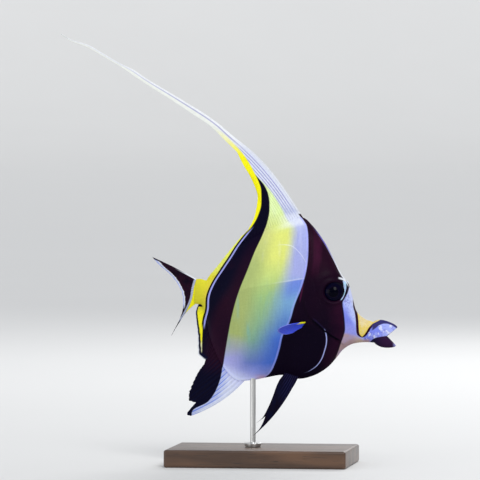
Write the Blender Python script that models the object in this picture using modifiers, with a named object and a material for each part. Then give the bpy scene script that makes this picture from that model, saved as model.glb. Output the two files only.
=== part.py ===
"""Moorish idol, life size, held in a nose-down swimming pose by a rod on a flat base.

The fish looks along +X, its right side faces -Y and +Z is up. The origin is the middle of the base's
underside. Lengths are named in millimetres and become metres as the meshes are made. Outline points
are (along, up) in the fish's side plane, measured from the middle of the tail fin's root.
"""

import math

import bmesh
import bpy
from mathutils import Vector

MM = 0.001
GAP = 0.3

# The stand, and where it carries the fish.
BASE_SIZE = (124.0, 78.0, 12.0)
BASE_EDGE = 1.6
ROD_RADIUS = 1.9
ROD_FOOT = -6.2
COLLAR_RADIUS = 6.0
COLLAR_HEIGHT = 2.6
COLLAR_EDGE = 0.5
ROD_TOP = 78.0
TAIL_ROOT = (-45.3, 118.0)

# Flesh: top point, bottom point, half width and how sharply the section narrows to its edges.
STATIONS = (
    ((-1.2, 7.8), (-2.6, -9.2), 2.6, 1.00),
    ((2.3, 8.0), (0.4, -9.4), 3.0, 1.00),
    ((6.4, 7.2), (3.3, -10.6), 3.6, 1.05),
    ((11.2, 9.5), (6.0, -20.7), 4.6, 1.15),
    ((17.7, 16.3), (10.0, -35.0), 6.2, 1.20),
    ((26.0, 26.9), (17.1, -49.6), 8.4, 1.25),
    ((35.7, 35.4), (26.8, -60.0), 10.6, 1.25),
    ((48.1, 42.2), (37.1, -60.6), 12.2, 1.25),
    ((61.1, 46.9), (48.1, -58.6), 13.0, 1.25),
    ((72.4, 50.6), (59.7, -56.8), 13.2, 1.25),
    ((79.7, 45.2), (70.7, -59.3), 13.0, 1.22),
    ((87.6, 34.7), (81.7, -56.6), 12.4, 1.20),
    ((94.1, 23.1), (90.6, -51.0), 11.6, 1.15),
    ((99.6, 12.2), (96.5, -44.5), 10.4, 1.10),
    ((104.4, 5.6), (100.6, -39.4), 8.8, 1.05),
    ((107.1, -3.1), (105.7, -35.9), 7.0, 1.00),
    ((109.9, -12.9), (111.2, -34.4), 5.6, 1.00),
    ((115.4, -18.0), (116.7, -34.0), 4.9, 1.00),
    ((121.5, -20.3), (122.2, -34.3), 4.5, 1.00),
)
RINGS_PER_STATION = 2
AROUND = 40
THICKEST_RISE = 0.08

# The open mouth: its corner, the two lip tips, and how far the lips swell on the way out.
MOUTH_CORNER = (130.5, -30.0)
UPPER_LIP = (137.9, -23.9)
LOWER_LIP = (136.9, -36.1)
MOUTH_HALF_WIDTH = 3.3
LIP_SWELL = (2.9, 2.5)
LIP_RINGS = (0.16, 0.34, 0.52, 0.70, 0.85, 0.95, 1.0)
LIP_BLUNT = (0.8, 0.35)
LIP_LATE = 0.9
LIP_WIDER = 0.10
LIP_ROLL = ((0.7, 0.80, 0.74), (2.2, 0.52, 0.44), (4.4, 0.20, 0.16))

# The tail is swung to the left, and the tail fin leans and twists further.
SWING_START = 33.0
SWING_RATE = 0.0076
FIN_SWING = 0.009
FIN_TWIST = 0.27
TWIST_REACH = 15.0
STREAMER_START = 36.0
STREAMER_SWAY = 0.00055

# Thin cuts that part the flesh: behind the gill opening, before the tail, and round the jaws.
GILL_LINE = ((77.0, 62.0), (78.2, 45.0), (77.6, 20.1), (74.8, 1.0), (76.0, -10.5), (81.0, -19.4),
             (90.0, -26.9), (97.5, -32.5), (101.5, -43.0), (103.0, -52.0))
STALK_LINE = ((8.6, 22.0), (7.4, 8.0), (6.9, -1.0), (4.6, -11.0), (1.0, -22.0))
SNOUT_LINE = ((124.3, -8.0), (124.3, -30.6), (118.8, -33.8), (115.4, -42.0))
JAW_LINE = ((124.3, -30.6), (130.5, -30.0), (146.0, -29.6))
CUTTER_REACH = 60.0

GILL_COVER = ((79.4, 3.5), (80.0, 12.0), (82.6, 11.0), (84.6, 2.0), (86.4, -7.0), (90.0, -16.0),
              (94.4, -24.0), (95.8, -29.2), (90.8, -24.9), (84.2, -19.4), (79.4, -11.2), (78.2, -4.0))
COVER_POINTS = 30
COVER_BACK = 8.0
COVER_OUT = 30.0
COVER_RAISE = 0.45

EYE_CENTRE = (95.6, 7.3, 0.3)
EYE_RADIUS = 7.4
EYE_DEPTH = 5.0
EYE_FORWARD = 16.0
EYE_UP = 8.0
RIM_SHARE = 0.93
RIM_THICK = 1.15
RIM_LIFT = 2.0
HORN_ROOT = (101.6, 3.4, 3.6)
HORN_TIP = (104.7, 6.6, 7.4)
HORN_RADIUS = 2.1
HORN_END = 0.6

# Nostrils: place and radius, how far in and out a pit reaches, and its radii's shares at those ends.
NOSTRILS = ((104.6, 7.6, -3.2, 0.75), (105.9, 6.6, -7.0, 0.6))
PIT_IN = (-1.2, -2.2)
PIT_OUT = (1.0, 1.5)
PIT_SHARES = (0.7, 1.2)

# Fins: ridge thickness at the root and at the edge, the membrane's share of it, and the least of all.
SPINES = (1.3, 0.8, 0.6)
SOFT_RAYS = (1.1, 0.7, 0.6)
WHIP = (1.1, 0.5, 0.6)
LEAST = 0.5
WHIP_RIDGES = 3
WHIP_ROWS = 26

# Belly fins: how far the roots are from the middle, the hinge they turn on, how far the tips shift
# for their splay, and for each fin its turn in degrees, its shortening and its splay.
PELVIC_ROOT = 1.9
PELVIC_TOP = -57.0
PELVIC_HINGE = (64.0, -57.5)
PELVIC_SHIFT = 1.2
PELVICS = ((-1, "right", 0.0, 0.0, 0.17), (1, "left", 3.4, 0.15, 0.30))

FLESH_LOOK = (0.06, 0.015, 0.035)
SHEEN_LOOK = (0.62, 0.68, 0.35)
YELLOW_LOOK = (0.86, 0.78, 0.03)
WHITE_LOOK = (0.80, 0.79, 0.95)
LIP_LOOK = (0.55, 0.60, 0.90)
EYE_LOOK = (0.01, 0.01, 0.02)
STEEL_LOOK = (0.62, 0.62, 0.60)
WALNUT_LOOK = (0.16, 0.08, 0.04)


def clear_scene():
    """Start from an empty scene."""
    for obj in list(bpy.data.objects):
        bpy.data.objects.remove(obj)


def collection(name):
    """A collection in the scene."""
    made = bpy.data.collections.new(name)
    bpy.context.scene.collection.children.link(made)
    return made


def material(name, colour, roughness, metallic=0.0):
    """A Principled material of one colour."""
    made = bpy.data.materials.new(name)
    made.use_nodes = True
    shader = made.node_tree.nodes["Principled BSDF"]
    shader.inputs["Base Color"].default_value = (*colour, 1.0)
    shader.inputs["Roughness"].default_value = roughness
    shader.inputs["Metallic"].default_value = metallic
    return made


def place(along, across, up):
    """A point of the fish, in metres in the row frame."""
    return Vector(((along + TAIL_ROOT[0]) * MM, across * MM, (up + TAIL_ROOT[1]) * MM))


def between(points, share):
    """A point on the smooth curve through the points, share 0 to 1 by point number."""
    last = len(points) - 1
    at = min(max(share, 0.0), 1.0) * last
    i = min(int(at), last - 1)
    t = at - i
    p1, p2 = Vector(points[i]), Vector(points[i + 1])
    p0 = Vector(points[i - 1]) if i else p1 * 2 - p2
    p3 = Vector(points[i + 2]) if i + 2 <= last else p2 * 2 - p1
    slope1, slope2 = (p2 - p0) / 2, (p3 - p1) / 2
    return hermite(p1, slope1, p2, slope2, t)


def hermite(p1, slope1, p2, slope2, t):
    """The cubic from p1 to p2 that leaves and arrives with these slopes."""
    t2, t3 = t * t, t * t * t
    return (p1 * (2 * t3 - 3 * t2 + 1) + slope1 * (t3 - 2 * t2 + t)
            + p2 * (3 * t2 - 2 * t3) + slope2 * (t3 - t2))


def evenly(points, count):
    """count points spaced evenly by length along the smooth curve through the points."""
    fine = [between(points, i / 200) for i in range(201)]
    reach = [0.0]
    for a, b in zip(fine, fine[1:]):
        reach.append(reach[-1] + (b - a).length)
    found, k = [], 0
    for i in range(count):
        want = reach[-1] * i / (count - 1)
        while k < 199 and reach[k + 1] < want:
            k += 1
        step = (want - reach[k]) / max(reach[k + 1] - reach[k], 1e-9)
        found.append(fine[k].lerp(fine[k + 1], step))
    return found


def swing(along, _up=0.0):
    """How far the body is swung to the left at this point of the side plane."""
    behind = max(0.0, SWING_START - along)
    if along >= 0.0:
        return SWING_RATE * behind * behind
    root = SWING_RATE * SWING_START * SWING_START
    slope = 2 * SWING_RATE * SWING_START
    return root - slope * along + FIN_SWING * along * along


def twisted_swing(along, up):
    """The swing of the tail fin, whose upper lobe leans back towards the right."""
    return swing(along) - FIN_TWIST * up * min(1.0, max(0.0, -along) / TWIST_REACH)


def flesh_rings():
    """Rings of points round the flesh, from the tail's root over the lips and into the mouth."""
    rows = [(*top, *bottom, half, edge) for top, bottom, half, edge in STATIONS]
    steps = (len(rows) - 1) * RINGS_PER_STATION
    rings = [body_ring(between(rows, i / steps)) for i in range(steps + 1)]
    snout = rings[-1]
    rim = [mouth_point(angle, 1.0, 1.0, 0.0) for angle in angles()]
    for share in LIP_RINGS:
        rings.append([lip_point(a, p, q, share) for a, p, q in zip(angles(), snout, rim)])
    for back, wide, tall in LIP_ROLL:
        rings.append([mouth_point(angle, wide, tall, back) for angle in angles()])
    return rings


def angles():
    """The angles round a section: 0 on the right side, a quarter turn on top."""
    return [2 * math.pi * i / AROUND for i in range(AROUND)]


def body_ring(row):
    """One section of the flesh, a narrowed ellipse on the chord from top to bottom."""
    top, bottom, half, edge = Vector(row[0:2]), Vector(row[2:4]), row[4], row[5]
    middle, reach = (top + bottom) / 2, (top - bottom) / 2
    ring = []
    for angle in angles():
        side, rise = math.cos(angle), math.sin(angle)
        at = middle + reach * (rise + THICKEST_RISE * side * side)
        across = -half * math.copysign(abs(side) ** edge, side)
        ring.append(Vector((at.x, across, at.y)))
    return ring


def mouth_point(angle, wide, tall, back):
    """A point on the mouth's rim, or further in where wide and tall are under 1."""
    side, rise = math.cos(angle), abs(math.sin(angle))
    tip = UPPER_LIP if math.sin(angle) >= 0 else LOWER_LIP
    reach = rise * tall
    along = MOUTH_CORNER[0] + (tip[0] - MOUTH_CORNER[0]) * reach - back
    up = MOUTH_CORNER[1] + (tip[1] - MOUTH_CORNER[1]) * reach
    return Vector((along, -MOUTH_HALF_WIDTH * wide * side, up))


def lip_point(angle, snout, rim, share):
    """A point on the lips between the snout's last section and the mouth's rim."""
    rise = math.sin(angle)
    swell = LIP_SWELL[0] if rise >= 0 else LIP_SWELL[1]
    blunt = LIP_BLUNT[0] - LIP_BLUNT[1] * share
    full = math.sin(math.pi * share ** LIP_LATE) ** blunt if share < 1 else 0.0
    point = snout.lerp(rim, share)
    point.z += swell * full * rise
    point.y *= 1 + LIP_WIDER * full
    return point


def flesh_mesh(name):
    """The whole flesh as one closed loft."""
    rings = flesh_rings()
    shape = bmesh.new()
    made = []
    for ring in rings:
        made.append([shape.verts.new(place(p.x, p.y + swing(p.x), p.z)) for p in ring])
    for before, after in zip(made, made[1:]):
        for i in range(AROUND):
            j = (i + 1) % AROUND
            shape.faces.new((before[i], before[j], after[j], after[i]))
    shape.faces.new(list(reversed(made[0])))
    shape.faces.new(made[-1])
    bmesh.ops.recalc_face_normals(shape, faces=shape.faces)
    return finished(shape, name)


def finished(shape, name):
    """The bmesh as an object's mesh."""
    mesh = bpy.data.meshes.new(name)
    shape.to_mesh(mesh)
    shape.free()
    return bpy.data.objects.new(name, mesh)


def bake(obj):
    """Replace the object's mesh by what its modifiers make of it."""
    bpy.context.view_layer.update()
    seen = obj.evaluated_get(bpy.context.evaluated_depsgraph_get())
    mesh = bpy.data.meshes.new_from_object(seen)
    obj.modifiers.clear()
    obj.data = mesh
    return obj


def cut(obj, operation, other):
    """Apply one Boolean with another object."""
    step = obj.modifiers.new("cut", "BOOLEAN")
    step.operation = operation
    step.object = other
    step.solver = "EXACT"
    return bake(obj)


def islands(obj):
    """The vertex sets of the mesh's separate closed surfaces, largest first."""
    shape = bmesh.new()
    shape.from_mesh(obj.data)
    shape.verts.ensure_lookup_table()
    seen, found = set(), []
    for vert in shape.verts:
        if vert.index in seen:
            continue
        stack, group = [vert], set()
        while stack:
            at = stack.pop()
            if at.index in group:
                continue
            group.add(at.index)
            stack.extend(edge.other_vert(at) for edge in at.link_edges)
        seen |= group
        found.append(group)
    shape.free()
    return sorted(found, key=len, reverse=True)


def keep_island(obj, group):
    """Leave only the vertices in the group."""
    shape = bmesh.new()
    shape.from_mesh(obj.data)
    loose = [v for v in shape.verts if v.index not in group]
    bmesh.ops.delete(shape, geom=loose, context="VERTS")
    shape.to_mesh(obj.data)
    shape.free()
    return obj


def keep_largest(obj):
    """Drop every closed surface but the largest."""
    return keep_island(obj, islands(obj)[0])


def copy_of(obj, name, group):
    """A separate copy of a mesh object."""
    made = bpy.data.objects.new(name, obj.data.copy())
    group.objects.link(made)
    return made


def grown(flesh, name, amount, group):
    """The flesh with its surface moved outwards by an amount, or inwards where it is negative."""
    made = copy_of(flesh, name, group)
    step = made.modifiers.new("grow", "DISPLACE")
    step.strength = amount * MM
    step.mid_level = 0.0
    return bake(made)


def ribbon_cutter(name, line, group):
    """A thin upright wall that follows a line of the side plane."""
    shape = bmesh.new()
    steps = 4 * len(line)
    path = [between(line, i / steps) for i in range(steps + 1)]
    rows = [[shape.verts.new(place(p.x, side, p.y)) for side in (-CUTTER_REACH, CUTTER_REACH)]
            for p in path]
    for before, after in zip(rows, rows[1:]):
        shape.faces.new((before[0], before[1], after[1], after[0]))
    made = finished(shape, name)
    group.objects.link(made)
    wall = made.modifiers.new("wall", "SOLIDIFY")
    wall.thickness = GAP * MM
    wall.offset = 0.0
    return bake(made)


def prism(name, outline, near, far, group):
    """The outline of the side plane, extruded from near to far across the fish."""
    curve = bpy.data.curves.new(name, "CURVE")
    curve.dimensions = "2D"
    curve.fill_mode = "BOTH"
    curve.extrude = abs(far - near) / 2 * MM
    spline = curve.splines.new("POLY")
    spline.use_cyclic_u = True
    spline.points.add(len(outline) - 1)
    for point, (along, up) in zip(spline.points, outline):
        at = place(along, 0.0, up)
        point.co = (at.x, at.z, 0.0, 1.0)
    flat = bpy.data.objects.new(name, curve)
    flat.rotation_euler = (math.pi / 2, 0.0, 0.0)
    flat.location.y = (near + far) / 2 * MM
    group.objects.link(flat)
    bpy.context.view_layer.update()
    seen = flat.evaluated_get(bpy.context.evaluated_depsgraph_get())
    mesh = bpy.data.meshes.new_from_object(seen)
    mesh.transform(flat.matrix_world)
    bpy.data.objects.remove(flat)
    made = bpy.data.objects.new(name, mesh)
    group.objects.link(made)
    weld(made)
    return made


def weld(obj):
    """Merge doubled points and turn the faces outwards."""
    shape = bmesh.new()
    shape.from_mesh(obj.data)
    bmesh.ops.remove_doubles(shape, verts=shape.verts, dist=1e-6)
    bmesh.ops.recalc_face_normals(shape, faces=shape.faces)
    shape.to_mesh(obj.data)
    shape.free()


def smooth_outline(points, count):
    """A closed smooth outline through the points."""
    ring = [Vector(p) for p in points]
    opened = [ring[-1], *ring, ring[0], ring[1]]
    spans = len(opened) - 1
    first, last = 1 / spans, (spans - 1) / spans
    return [between(opened, first + (last - first) * i / count) for i in range(count)]


def eye_turn(side):
    """Where an eye looks, side -1 for the right eye and 1 for the left."""
    forward, up = math.radians(EYE_FORWARD), math.radians(EYE_UP)
    look = Vector((math.sin(forward), side * math.cos(forward), math.sin(up)))
    return look.normalized().to_track_quat("Z", "Y")


def eyeball(name, side, extra, group):
    """A flattened eyeball, larger all round by extra."""
    shape = bmesh.new()
    bmesh.ops.create_uvsphere(shape, u_segments=24, v_segments=12, radius=1.0)
    radius, depth = EYE_RADIUS + extra, EYE_DEPTH + extra
    turn = eye_turn(side)
    along, across, up = EYE_CENTRE
    centre = place(along, side * across, up)
    for vert in shape.verts:
        flat = Vector((vert.co.x * radius, vert.co.y * radius, vert.co.z * depth)) * MM
        vert.co = centre + turn @ flat
    made = finished(shape, name)
    group.objects.link(made)
    return made


def eye_rim(name, side, group):
    """The raised ring of skin round an eye."""
    turn = eye_turn(side)
    along, across, up = EYE_CENTRE
    centre = place(along, side * across, up) + turn @ Vector((0, 0, RIM_LIFT * MM))
    bpy.ops.mesh.primitive_torus_add(major_radius=EYE_RADIUS * RIM_SHARE * MM,
                                     minor_radius=RIM_THICK * MM, major_segments=24,
                                     minor_segments=6, location=centre,
                                     rotation=turn.to_euler())
    made = bpy.context.object
    made.name = name
    return moved(made, group)


def moved(obj, group):
    """Put a new primitive in a collection, with its place in its mesh."""
    bpy.context.view_layer.update()
    obj.data.transform(obj.matrix_world)
    obj.matrix_world.identity()
    obj.location = (0, 0, 0)
    obj.rotation_euler = (0, 0, 0)
    for old in list(obj.users_collection):
        old.objects.unlink(obj)
    group.objects.link(obj)
    return obj


def spike(name, root, tip, radius, end_radius, sides, group):
    """A tapered piece from root to tip."""
    start, end = place(*root), place(*tip)
    run = end - start
    bpy.ops.mesh.primitive_cone_add(vertices=sides, radius1=radius * MM, radius2=end_radius * MM,
                                    depth=run.length, location=(start + end) / 2,
                                    rotation=run.to_track_quat("Z", "Y").to_euler())
    made = bpy.context.object
    made.name = name
    return moved(made, group)


def union(obj, pieces):
    """Join the pieces to the object by one Boolean on their collection, then remove them."""
    group = collection(f"{obj.name}_pieces")
    for piece in pieces:
        for old in list(piece.users_collection):
            old.objects.unlink(piece)
        group.objects.link(piece)
    step = obj.modifiers.new("join", "BOOLEAN")
    step.operation = "UNION"
    step.operand_type = "COLLECTION"
    step.collection = group
    step.solver = "EXACT"
    bake(obj)
    for piece in pieces:
        bpy.data.objects.remove(piece)
    bpy.data.collections.remove(group)
    return obj


def ridged_sheet(name, columns, rows, place_point, thick, look, group):
    """A thin sheet on a grid with a ridge on every second column, closed on both faces.

    place_point gives the middle of the sheet for a column and a share 0 to 1 of the way out. thick is
    the ridge's thickness at the root and at the edge, and the membrane's share of it.
    """
    shape = bmesh.new()
    bmesh.ops.create_grid(shape, x_segments=columns, y_segments=rows, size=0.5)
    ridge, edge, web = thick
    weights = []
    for vert in shape.verts:
        column = round((vert.co.x + 0.5) * columns)
        share = round((vert.co.y + 0.5) * rows) / rows
        point = place_point(column, share)
        vert.co = place(point.x, point.y, point.z)
        crest = 1.0 if column % 2 or column in (0, columns) else web
        weights.append(max(crest * (ridge + (edge - ridge) * share), LEAST) / ridge)
    made = finished(shape, name)
    group.objects.link(made)
    depth = made.vertex_groups.new(name="depth")
    for index, weight in enumerate(weights):
        depth.add([index], weight, "REPLACE")
    split = made.modifiers.new("split", "TRIANGULATE")
    split.quad_method = "FIXED"
    wall = made.modifiers.new("wall", "SOLIDIFY")
    wall.thickness = ridge * MM
    wall.offset = 0.0
    wall.vertex_group = "depth"
    bake(made)
    weld(made)
    made.data.materials.clear()
    made.data.materials.append(look)
    return made


def fin(name, root, edges, leave, arrive, rows, thick, look, group, sway=None, fray=0.0):
    """A fin between its root and its edge, with a ridge for each ray.

    edges are the curves that the rays end on, each with its number of columns, two columns to a ray.
    leave and arrive are the rays' directions at the root and at the edge, from the first ray to the
    last. fray is how far the edge is drawn in between two rays.
    """
    tips = [evenly(edges[0][0], edges[0][1] + 1)[0]]
    for curve, count in edges:
        tips += evenly(curve, count + 1)[1:]
    columns = len(tips) - 1
    roots = evenly(root, columns + 1)

    def place_point(column, share):
        across = column / columns
        start, end = roots[column], tips[column]
        out, into = between(leave, across).normalized(), between(arrive, across).normalized()
        if fray and column % 2 == 0 and 0 < column < columns:
            end = end - into * fray
        reach = (end - start).length
        point = hermite(start, out * reach, end, into * reach, share)
        if sway:
            point.y += sway(point.x, point.z)
        return point

    return ridged_sheet(name, columns, rows, place_point, thick, look, group)


def directions(*degrees):
    """Unit directions in the side plane, from degrees above forward."""
    return [Vector((math.cos(math.radians(d)), 0.0, math.sin(math.radians(d)))) for d in degrees]


def flat_points(*points):
    """Side-plane points as points of the fish."""
    return [Vector((along, 0.0, up)) for along, up in points]


def make_flesh(model, cutters, looks):
    """Head, jaws, trunk and tail stalk, parted from one body by thin cuts."""
    flesh = flesh_mesh("flesh")
    cutters.objects.link(flesh)
    whole = copy_of(flesh, "whole", cutters)
    for name, line in (("gill", GILL_LINE), ("stalk", STALK_LINE), ("snout", SNOUT_LINE),
                       ("jaw", JAW_LINE)):
        wall = ribbon_cutter(f"{name}_cutter", line, cutters)
        cut(whole, "DIFFERENCE", wall)
        bpy.data.objects.remove(wall)
    found = []
    for group in islands(whole)[:5]:
        piece = keep_island(copy_of(whole, "piece", model), group)
        weight = len(piece.data.vertices)
        middle = sum((v.co for v in piece.data.vertices), Vector()) / weight
        found.append((middle.x, middle.z, piece))
    bpy.data.objects.remove(whole)
    found.sort(key=lambda entry: entry[0])
    jaws = sorted(found[3:], key=lambda entry: entry[1])
    pieces = [entry[2] for entry in found[:3] + jaws]
    names = ("tail_stalk", "torso", "head", "lower_jaw", "upper_jaw")
    made = {}
    for name, piece in zip(names, pieces):
        piece.name = name
        piece.data.materials.clear()
        piece.data.materials.append(looks[name])
        made[name] = piece
    return flesh, made


def dress_head(head, flesh, model, cutters, looks):
    """Eyes in their sockets, eye rims, brow horns, nostrils and gill covers."""
    rims = [eye_rim(f"rim_{side}", side, cutters) for side in (-1, 1)]
    horns = []
    for side in (-1, 1):
        root = (HORN_ROOT[0], side * HORN_ROOT[1], HORN_ROOT[2])
        tip = (HORN_TIP[0], side * HORN_TIP[1], HORN_TIP[2])
        horns.append(spike(f"horn_{side}", root, tip, HORN_RADIUS, HORN_END, 8, cutters))
    union(head, rims + horns)
    for side in (-1, 1):
        socket = eyeball("socket", side, GAP, cutters)
        cut(head, "DIFFERENCE", socket)
        bpy.data.objects.remove(socket)
        for along, across, up, radius in NOSTRILS:
            inner = (along + PIT_IN[0], side * (across + PIT_IN[1]), up)
            outer = (along + PIT_OUT[0], side * (across + PIT_OUT[1]), up)
            pit = spike("pit", inner, outer, radius * PIT_SHARES[0], radius * PIT_SHARES[1], 8, cutters)
            cut(head, "DIFFERENCE", pit)
            bpy.data.objects.remove(pit)
    keep_largest(head)
    for side, word in ((-1, "right"), (1, "left")):
        ball = eyeball(f"eye_{word}", side, 0.0, model)
        ball.data.materials.append(looks["eye"])
        gill_cover(head, flesh, side, word, model, cutters, looks)


def gill_cover(head, flesh, side, word, model, cutters, looks):
    """One gill cover as its own plate, raised a little, in a flat-bottomed pocket of the head."""
    inner = smooth_outline(GILL_COVER, COVER_POINTS)
    middle = sum(inner, Vector((0, 0))) / len(inner)
    outer = [p + (p - middle).normalized() * GAP for p in inner]
    pocket = prism("pocket", outer, side * (COVER_BACK - GAP), side * COVER_OUT, cutters)
    cut(head, "DIFFERENCE", pocket)
    keep_largest(head)
    plate = grown(flesh, f"gill_cover_{word}", COVER_RAISE, model)
    shape = prism("plate_shape", inner, side * COVER_BACK, side * COVER_OUT, cutters)
    cut(plate, "INTERSECT", shape)
    keep_largest(plate)
    plate.data.materials.clear()
    plate.data.materials.append(looks["head"])
    bpy.data.objects.remove(pocket)
    bpy.data.objects.remove(shape)


def streamer_sway(along, _up):
    """The long streamer drifts gently to the right towards its tip."""
    past = max(0.0, STREAMER_START - along)
    return -STREAMER_SWAY * past * past


def make_dorsal(model, looks):
    """The back fin: the tall spiny part, the streamer that it runs into, and the low soft part."""
    spiny = fin("dorsal_fin_spiny",
                flat_points((75.4, 47.2), (62.0, 44.4), (45.9, 37.8)),
                ((flat_points((34.5, 98.6), (28.1, 94.8)), 6),
                 (flat_points((28.1, 94.8), (32.5, 86.5), (36.6, 79.5), (40.1, 72.1), (42.2, 65.2),
                              (41.9, 58.3)), 20)),
                directions(122.5, 112, 100), directions(142, 128, 100),
                12, SPINES, looks["white"], model, sway=streamer_sway)
    soft = fin("dorsal_fin_soft",
               flat_points((45.3, 37.4), (35.8, 31.4), (23.0, 19.0), (11.0, 6.4)),
               ((flat_points((41.4, 57.4), (39.8, 49.3), (36.1, 41.5), (31.6, 37.0), (26.7, 31.8),
                             (21.2, 25.8), (16.1, 19.4), (11.2, 13.8), (8.0, 10.3), (6.4, 7.6)), 30),),
               directions(98, 125, 152), directions(102, 132, 160),
               5, SOFT_RAYS, looks["yellow"], model, sway=swing)
    lead = flat_points((34.0, 99.2), (24.2, 106.6), (15.5, 113.9), (5.8, 120.8), (-6.4, 128.2),
                       (-19.5, 136.1), (-32.7, 143.9), (-42.3, 150.4), (-52.9, 155.6),
                       (-63.3, 161.7), (-73.0, 167.3), (-85.2, 171.3), (-91.6, 175.3))
    trail = flat_points((27.6, 95.4), (19.9, 102.7), (10.2, 112.2), (-2.0, 120.4), (-15.1, 129.1),
                        (-28.2, 137.3), (-41.3, 145.9), (-50.1, 152.0), (-63.2, 159.8),
                        (-73.7, 165.9), (-85.2, 170.3), (-91.9, 174.7))
    ahead, behind = evenly(lead, WHIP_ROWS + 1), evenly(trail, WHIP_ROWS + 1)

    def streamer_point(column, share):
        row = round(share * WHIP_ROWS)
        point = ahead[row].lerp(behind[row], column / (2 * WHIP_RIDGES))
        point.y = streamer_sway(point.x, point.z)
        return point

    ridged_sheet("dorsal_streamer", 2 * WHIP_RIDGES, WHIP_ROWS, streamer_point, WHIP,
                 looks["white"], model)
    return [spiny, soft]


def make_anal(model, looks):
    """The fin below, from its long front edge to the narrow strip before the tail."""
    return fin("anal_fin",
               flat_points((34.2, -60.0), (21.6, -49.4), (13.6, -36.0), (9.6, -21.6), (6.0, -11.0)),
               ((flat_points((-5.6, -86.0), (-8.4, -84.8), (-4.4, -79.6), (-1.8, -76.8)), 6),
                (flat_points((-1.8, -76.8), (-5.8, -75.8), (-7.3, -72.3), (-5.4, -67.3),
                             (-2.8, -61.1), (0.4, -55.4), (4.5, -50.1), (5.4, -47.3)), 18),
                (flat_points((5.4, -47.3), (2.9, -45.8), (0.3, -43.0), (-0.2, -30.6),
                             (-1.3, -22.0), (-1.7, -14.3), (0.1, -9.5)), 16)),
               directions(230, 224, 214, 204, 192), directions(199, 218, 216, 200, 184),
               8, SOFT_RAYS, looks["black"], model, sway=swing, fray=0.35)


def make_caudal(model, looks):
    """The tail fin, its rays fanned between two drawn-out lobes."""
    return fin("caudal_fin",
               flat_points((1.2, 6.4), (-0.2, -0.6), (-0.4, -8.2)),
               ((flat_points((-35.0, 21.8), (-29.4, 16.6), (-23.1, 12.2), (-17.8, 7.5),
                             (-14.6, 2.8), (-12.4, -0.8), (-11.4, -5.0)), 16),
                (flat_points((-11.4, -5.0), (-11.5, -9.2), (-12.2, -14.0), (-15.2, -21.0),
                             (-22.0, -32.2)), 14)),
               directions(150, 180, 212), directions(162, 184, 240),
               6, SOFT_RAYS, looks["black"], model, sway=twisted_swing)


def make_pelvics(model, looks):
    """The two long pointed belly fins, splayed a little, the left one held higher."""
    made = []
    for side, word, turn, shorter, splay in PELVICS:
        def spread(_along, up, side=side, splay=splay):
            return side * (PELVIC_ROOT + splay * max(0.0, PELVIC_TOP - up))

        shift = -side * PELVIC_SHIFT
        rear = [turned(along + shift * share, up, -turn * share, 1.0 - shorter * share)
                for along, up, share in ((38.9, -98.1, 1.0), (44.3, -92.0, 0.9), (48.2, -83.2, 0.7),
                                         (50.9, -76.0, 0.5), (53.5, -69.6, 0.3), (55.6, -64.0, 0.1),
                                         (57.6, -60.0, 0.0))]
        made.append(fin(f"pelvic_fin_{word}", flat_points((70.8, -56.2), (61.6, -54.6)),
                        ((rear, 12),),
                        directions(248, 247, 236), directions(219 - turn, 232 - turn, 234),
                        9, SOFT_RAYS, looks["black"], model, sway=spread))
    return made


def turned(along, up, degrees, length):
    """A side-plane point of a belly fin after the fin has swung about its root and shortened."""
    angle = math.radians(degrees)
    away = Vector((along - PELVIC_HINGE[0], up - PELVIC_HINGE[1])) * length
    return Vector((PELVIC_HINGE[0] + away.x * math.cos(angle) - away.y * math.sin(angle), 0.0,
                   PELVIC_HINGE[1] + away.x * math.sin(angle) + away.y * math.cos(angle)))


def make_pectorals(model, looks):
    """The two fans behind the gill covers, held out and back like a hovering fish's."""
    made = []
    for side, word in ((-1, "right"), (1, "left")):
        def point(along, out, up, side=side):
            return Vector((along, side * out, up))

        made.append(fin(f"pectoral_fin_{word}",
                        [point(77.0, 11.2, -20.0), point(75.8, 11.4, -21.8),
                         point(74.2, 11.2, -23.6)],
                        (([point(68.4, 29.6, -20.7), point(65.6, 32.6, -21.5),
                           point(62.0, 33.0, -22.9), point(60.0, 30.4, -24.8),
                           point(60.8, 26.6, -27.0), point(64.4, 22.0, -28.1),
                           point(68.4, 17.8, -27.4)], 22),),
                        [point(-0.30, 0.95, 0.03), point(-0.5, 0.86, -0.04),
                         point(-0.6, 0.75, -0.3)],
                        [point(-0.52, 0.85, -0.06), point(-0.68, 0.72, -0.13),
                         point(-0.66, 0.64, -0.42)],
                        6, SOFT_RAYS, looks["black"], model))
    return made


def make_stand(model, clear, looks):
    """The flat base and the rod that carries the fish from below."""
    bpy.ops.mesh.primitive_cube_add(size=1.0)
    base = bpy.context.object
    base.name = "stand_base"
    base.scale = [side * MM for side in BASE_SIZE]
    base.location.z = BASE_SIZE[2] / 2 * MM
    moved(base, model)
    rounding = base.modifiers.new("rounding", "BEVEL")
    rounding.width = BASE_EDGE * MM
    rounding.segments = 3
    bake(base)
    base.data.materials.append(looks["walnut"])
    foot, top = BASE_SIZE[2] + GAP, ROD_TOP
    bpy.ops.mesh.primitive_cylinder_add(vertices=24, radius=ROD_RADIUS * MM, depth=(top - foot) * MM,
                                        location=(ROD_FOOT * MM, 0, (top + foot) / 2 * MM))
    rod = bpy.context.object
    rod.name = "stand_rod"
    moved(rod, model)
    bpy.ops.mesh.primitive_cylinder_add(vertices=32, radius=COLLAR_RADIUS * MM,
                                        depth=COLLAR_HEIGHT * MM,
                                        location=(ROD_FOOT * MM, 0, (foot + COLLAR_HEIGHT / 2) * MM))
    collar = moved(bpy.context.object, model)
    chamfer = collar.modifiers.new("chamfer", "BEVEL")
    chamfer.width = COLLAR_EDGE * MM
    chamfer.segments = 2
    bake(collar)
    union(rod, [collar])
    cut(rod, "DIFFERENCE", clear)
    keep_largest(rod)
    rod.data.materials.append(looks["steel"])


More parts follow.
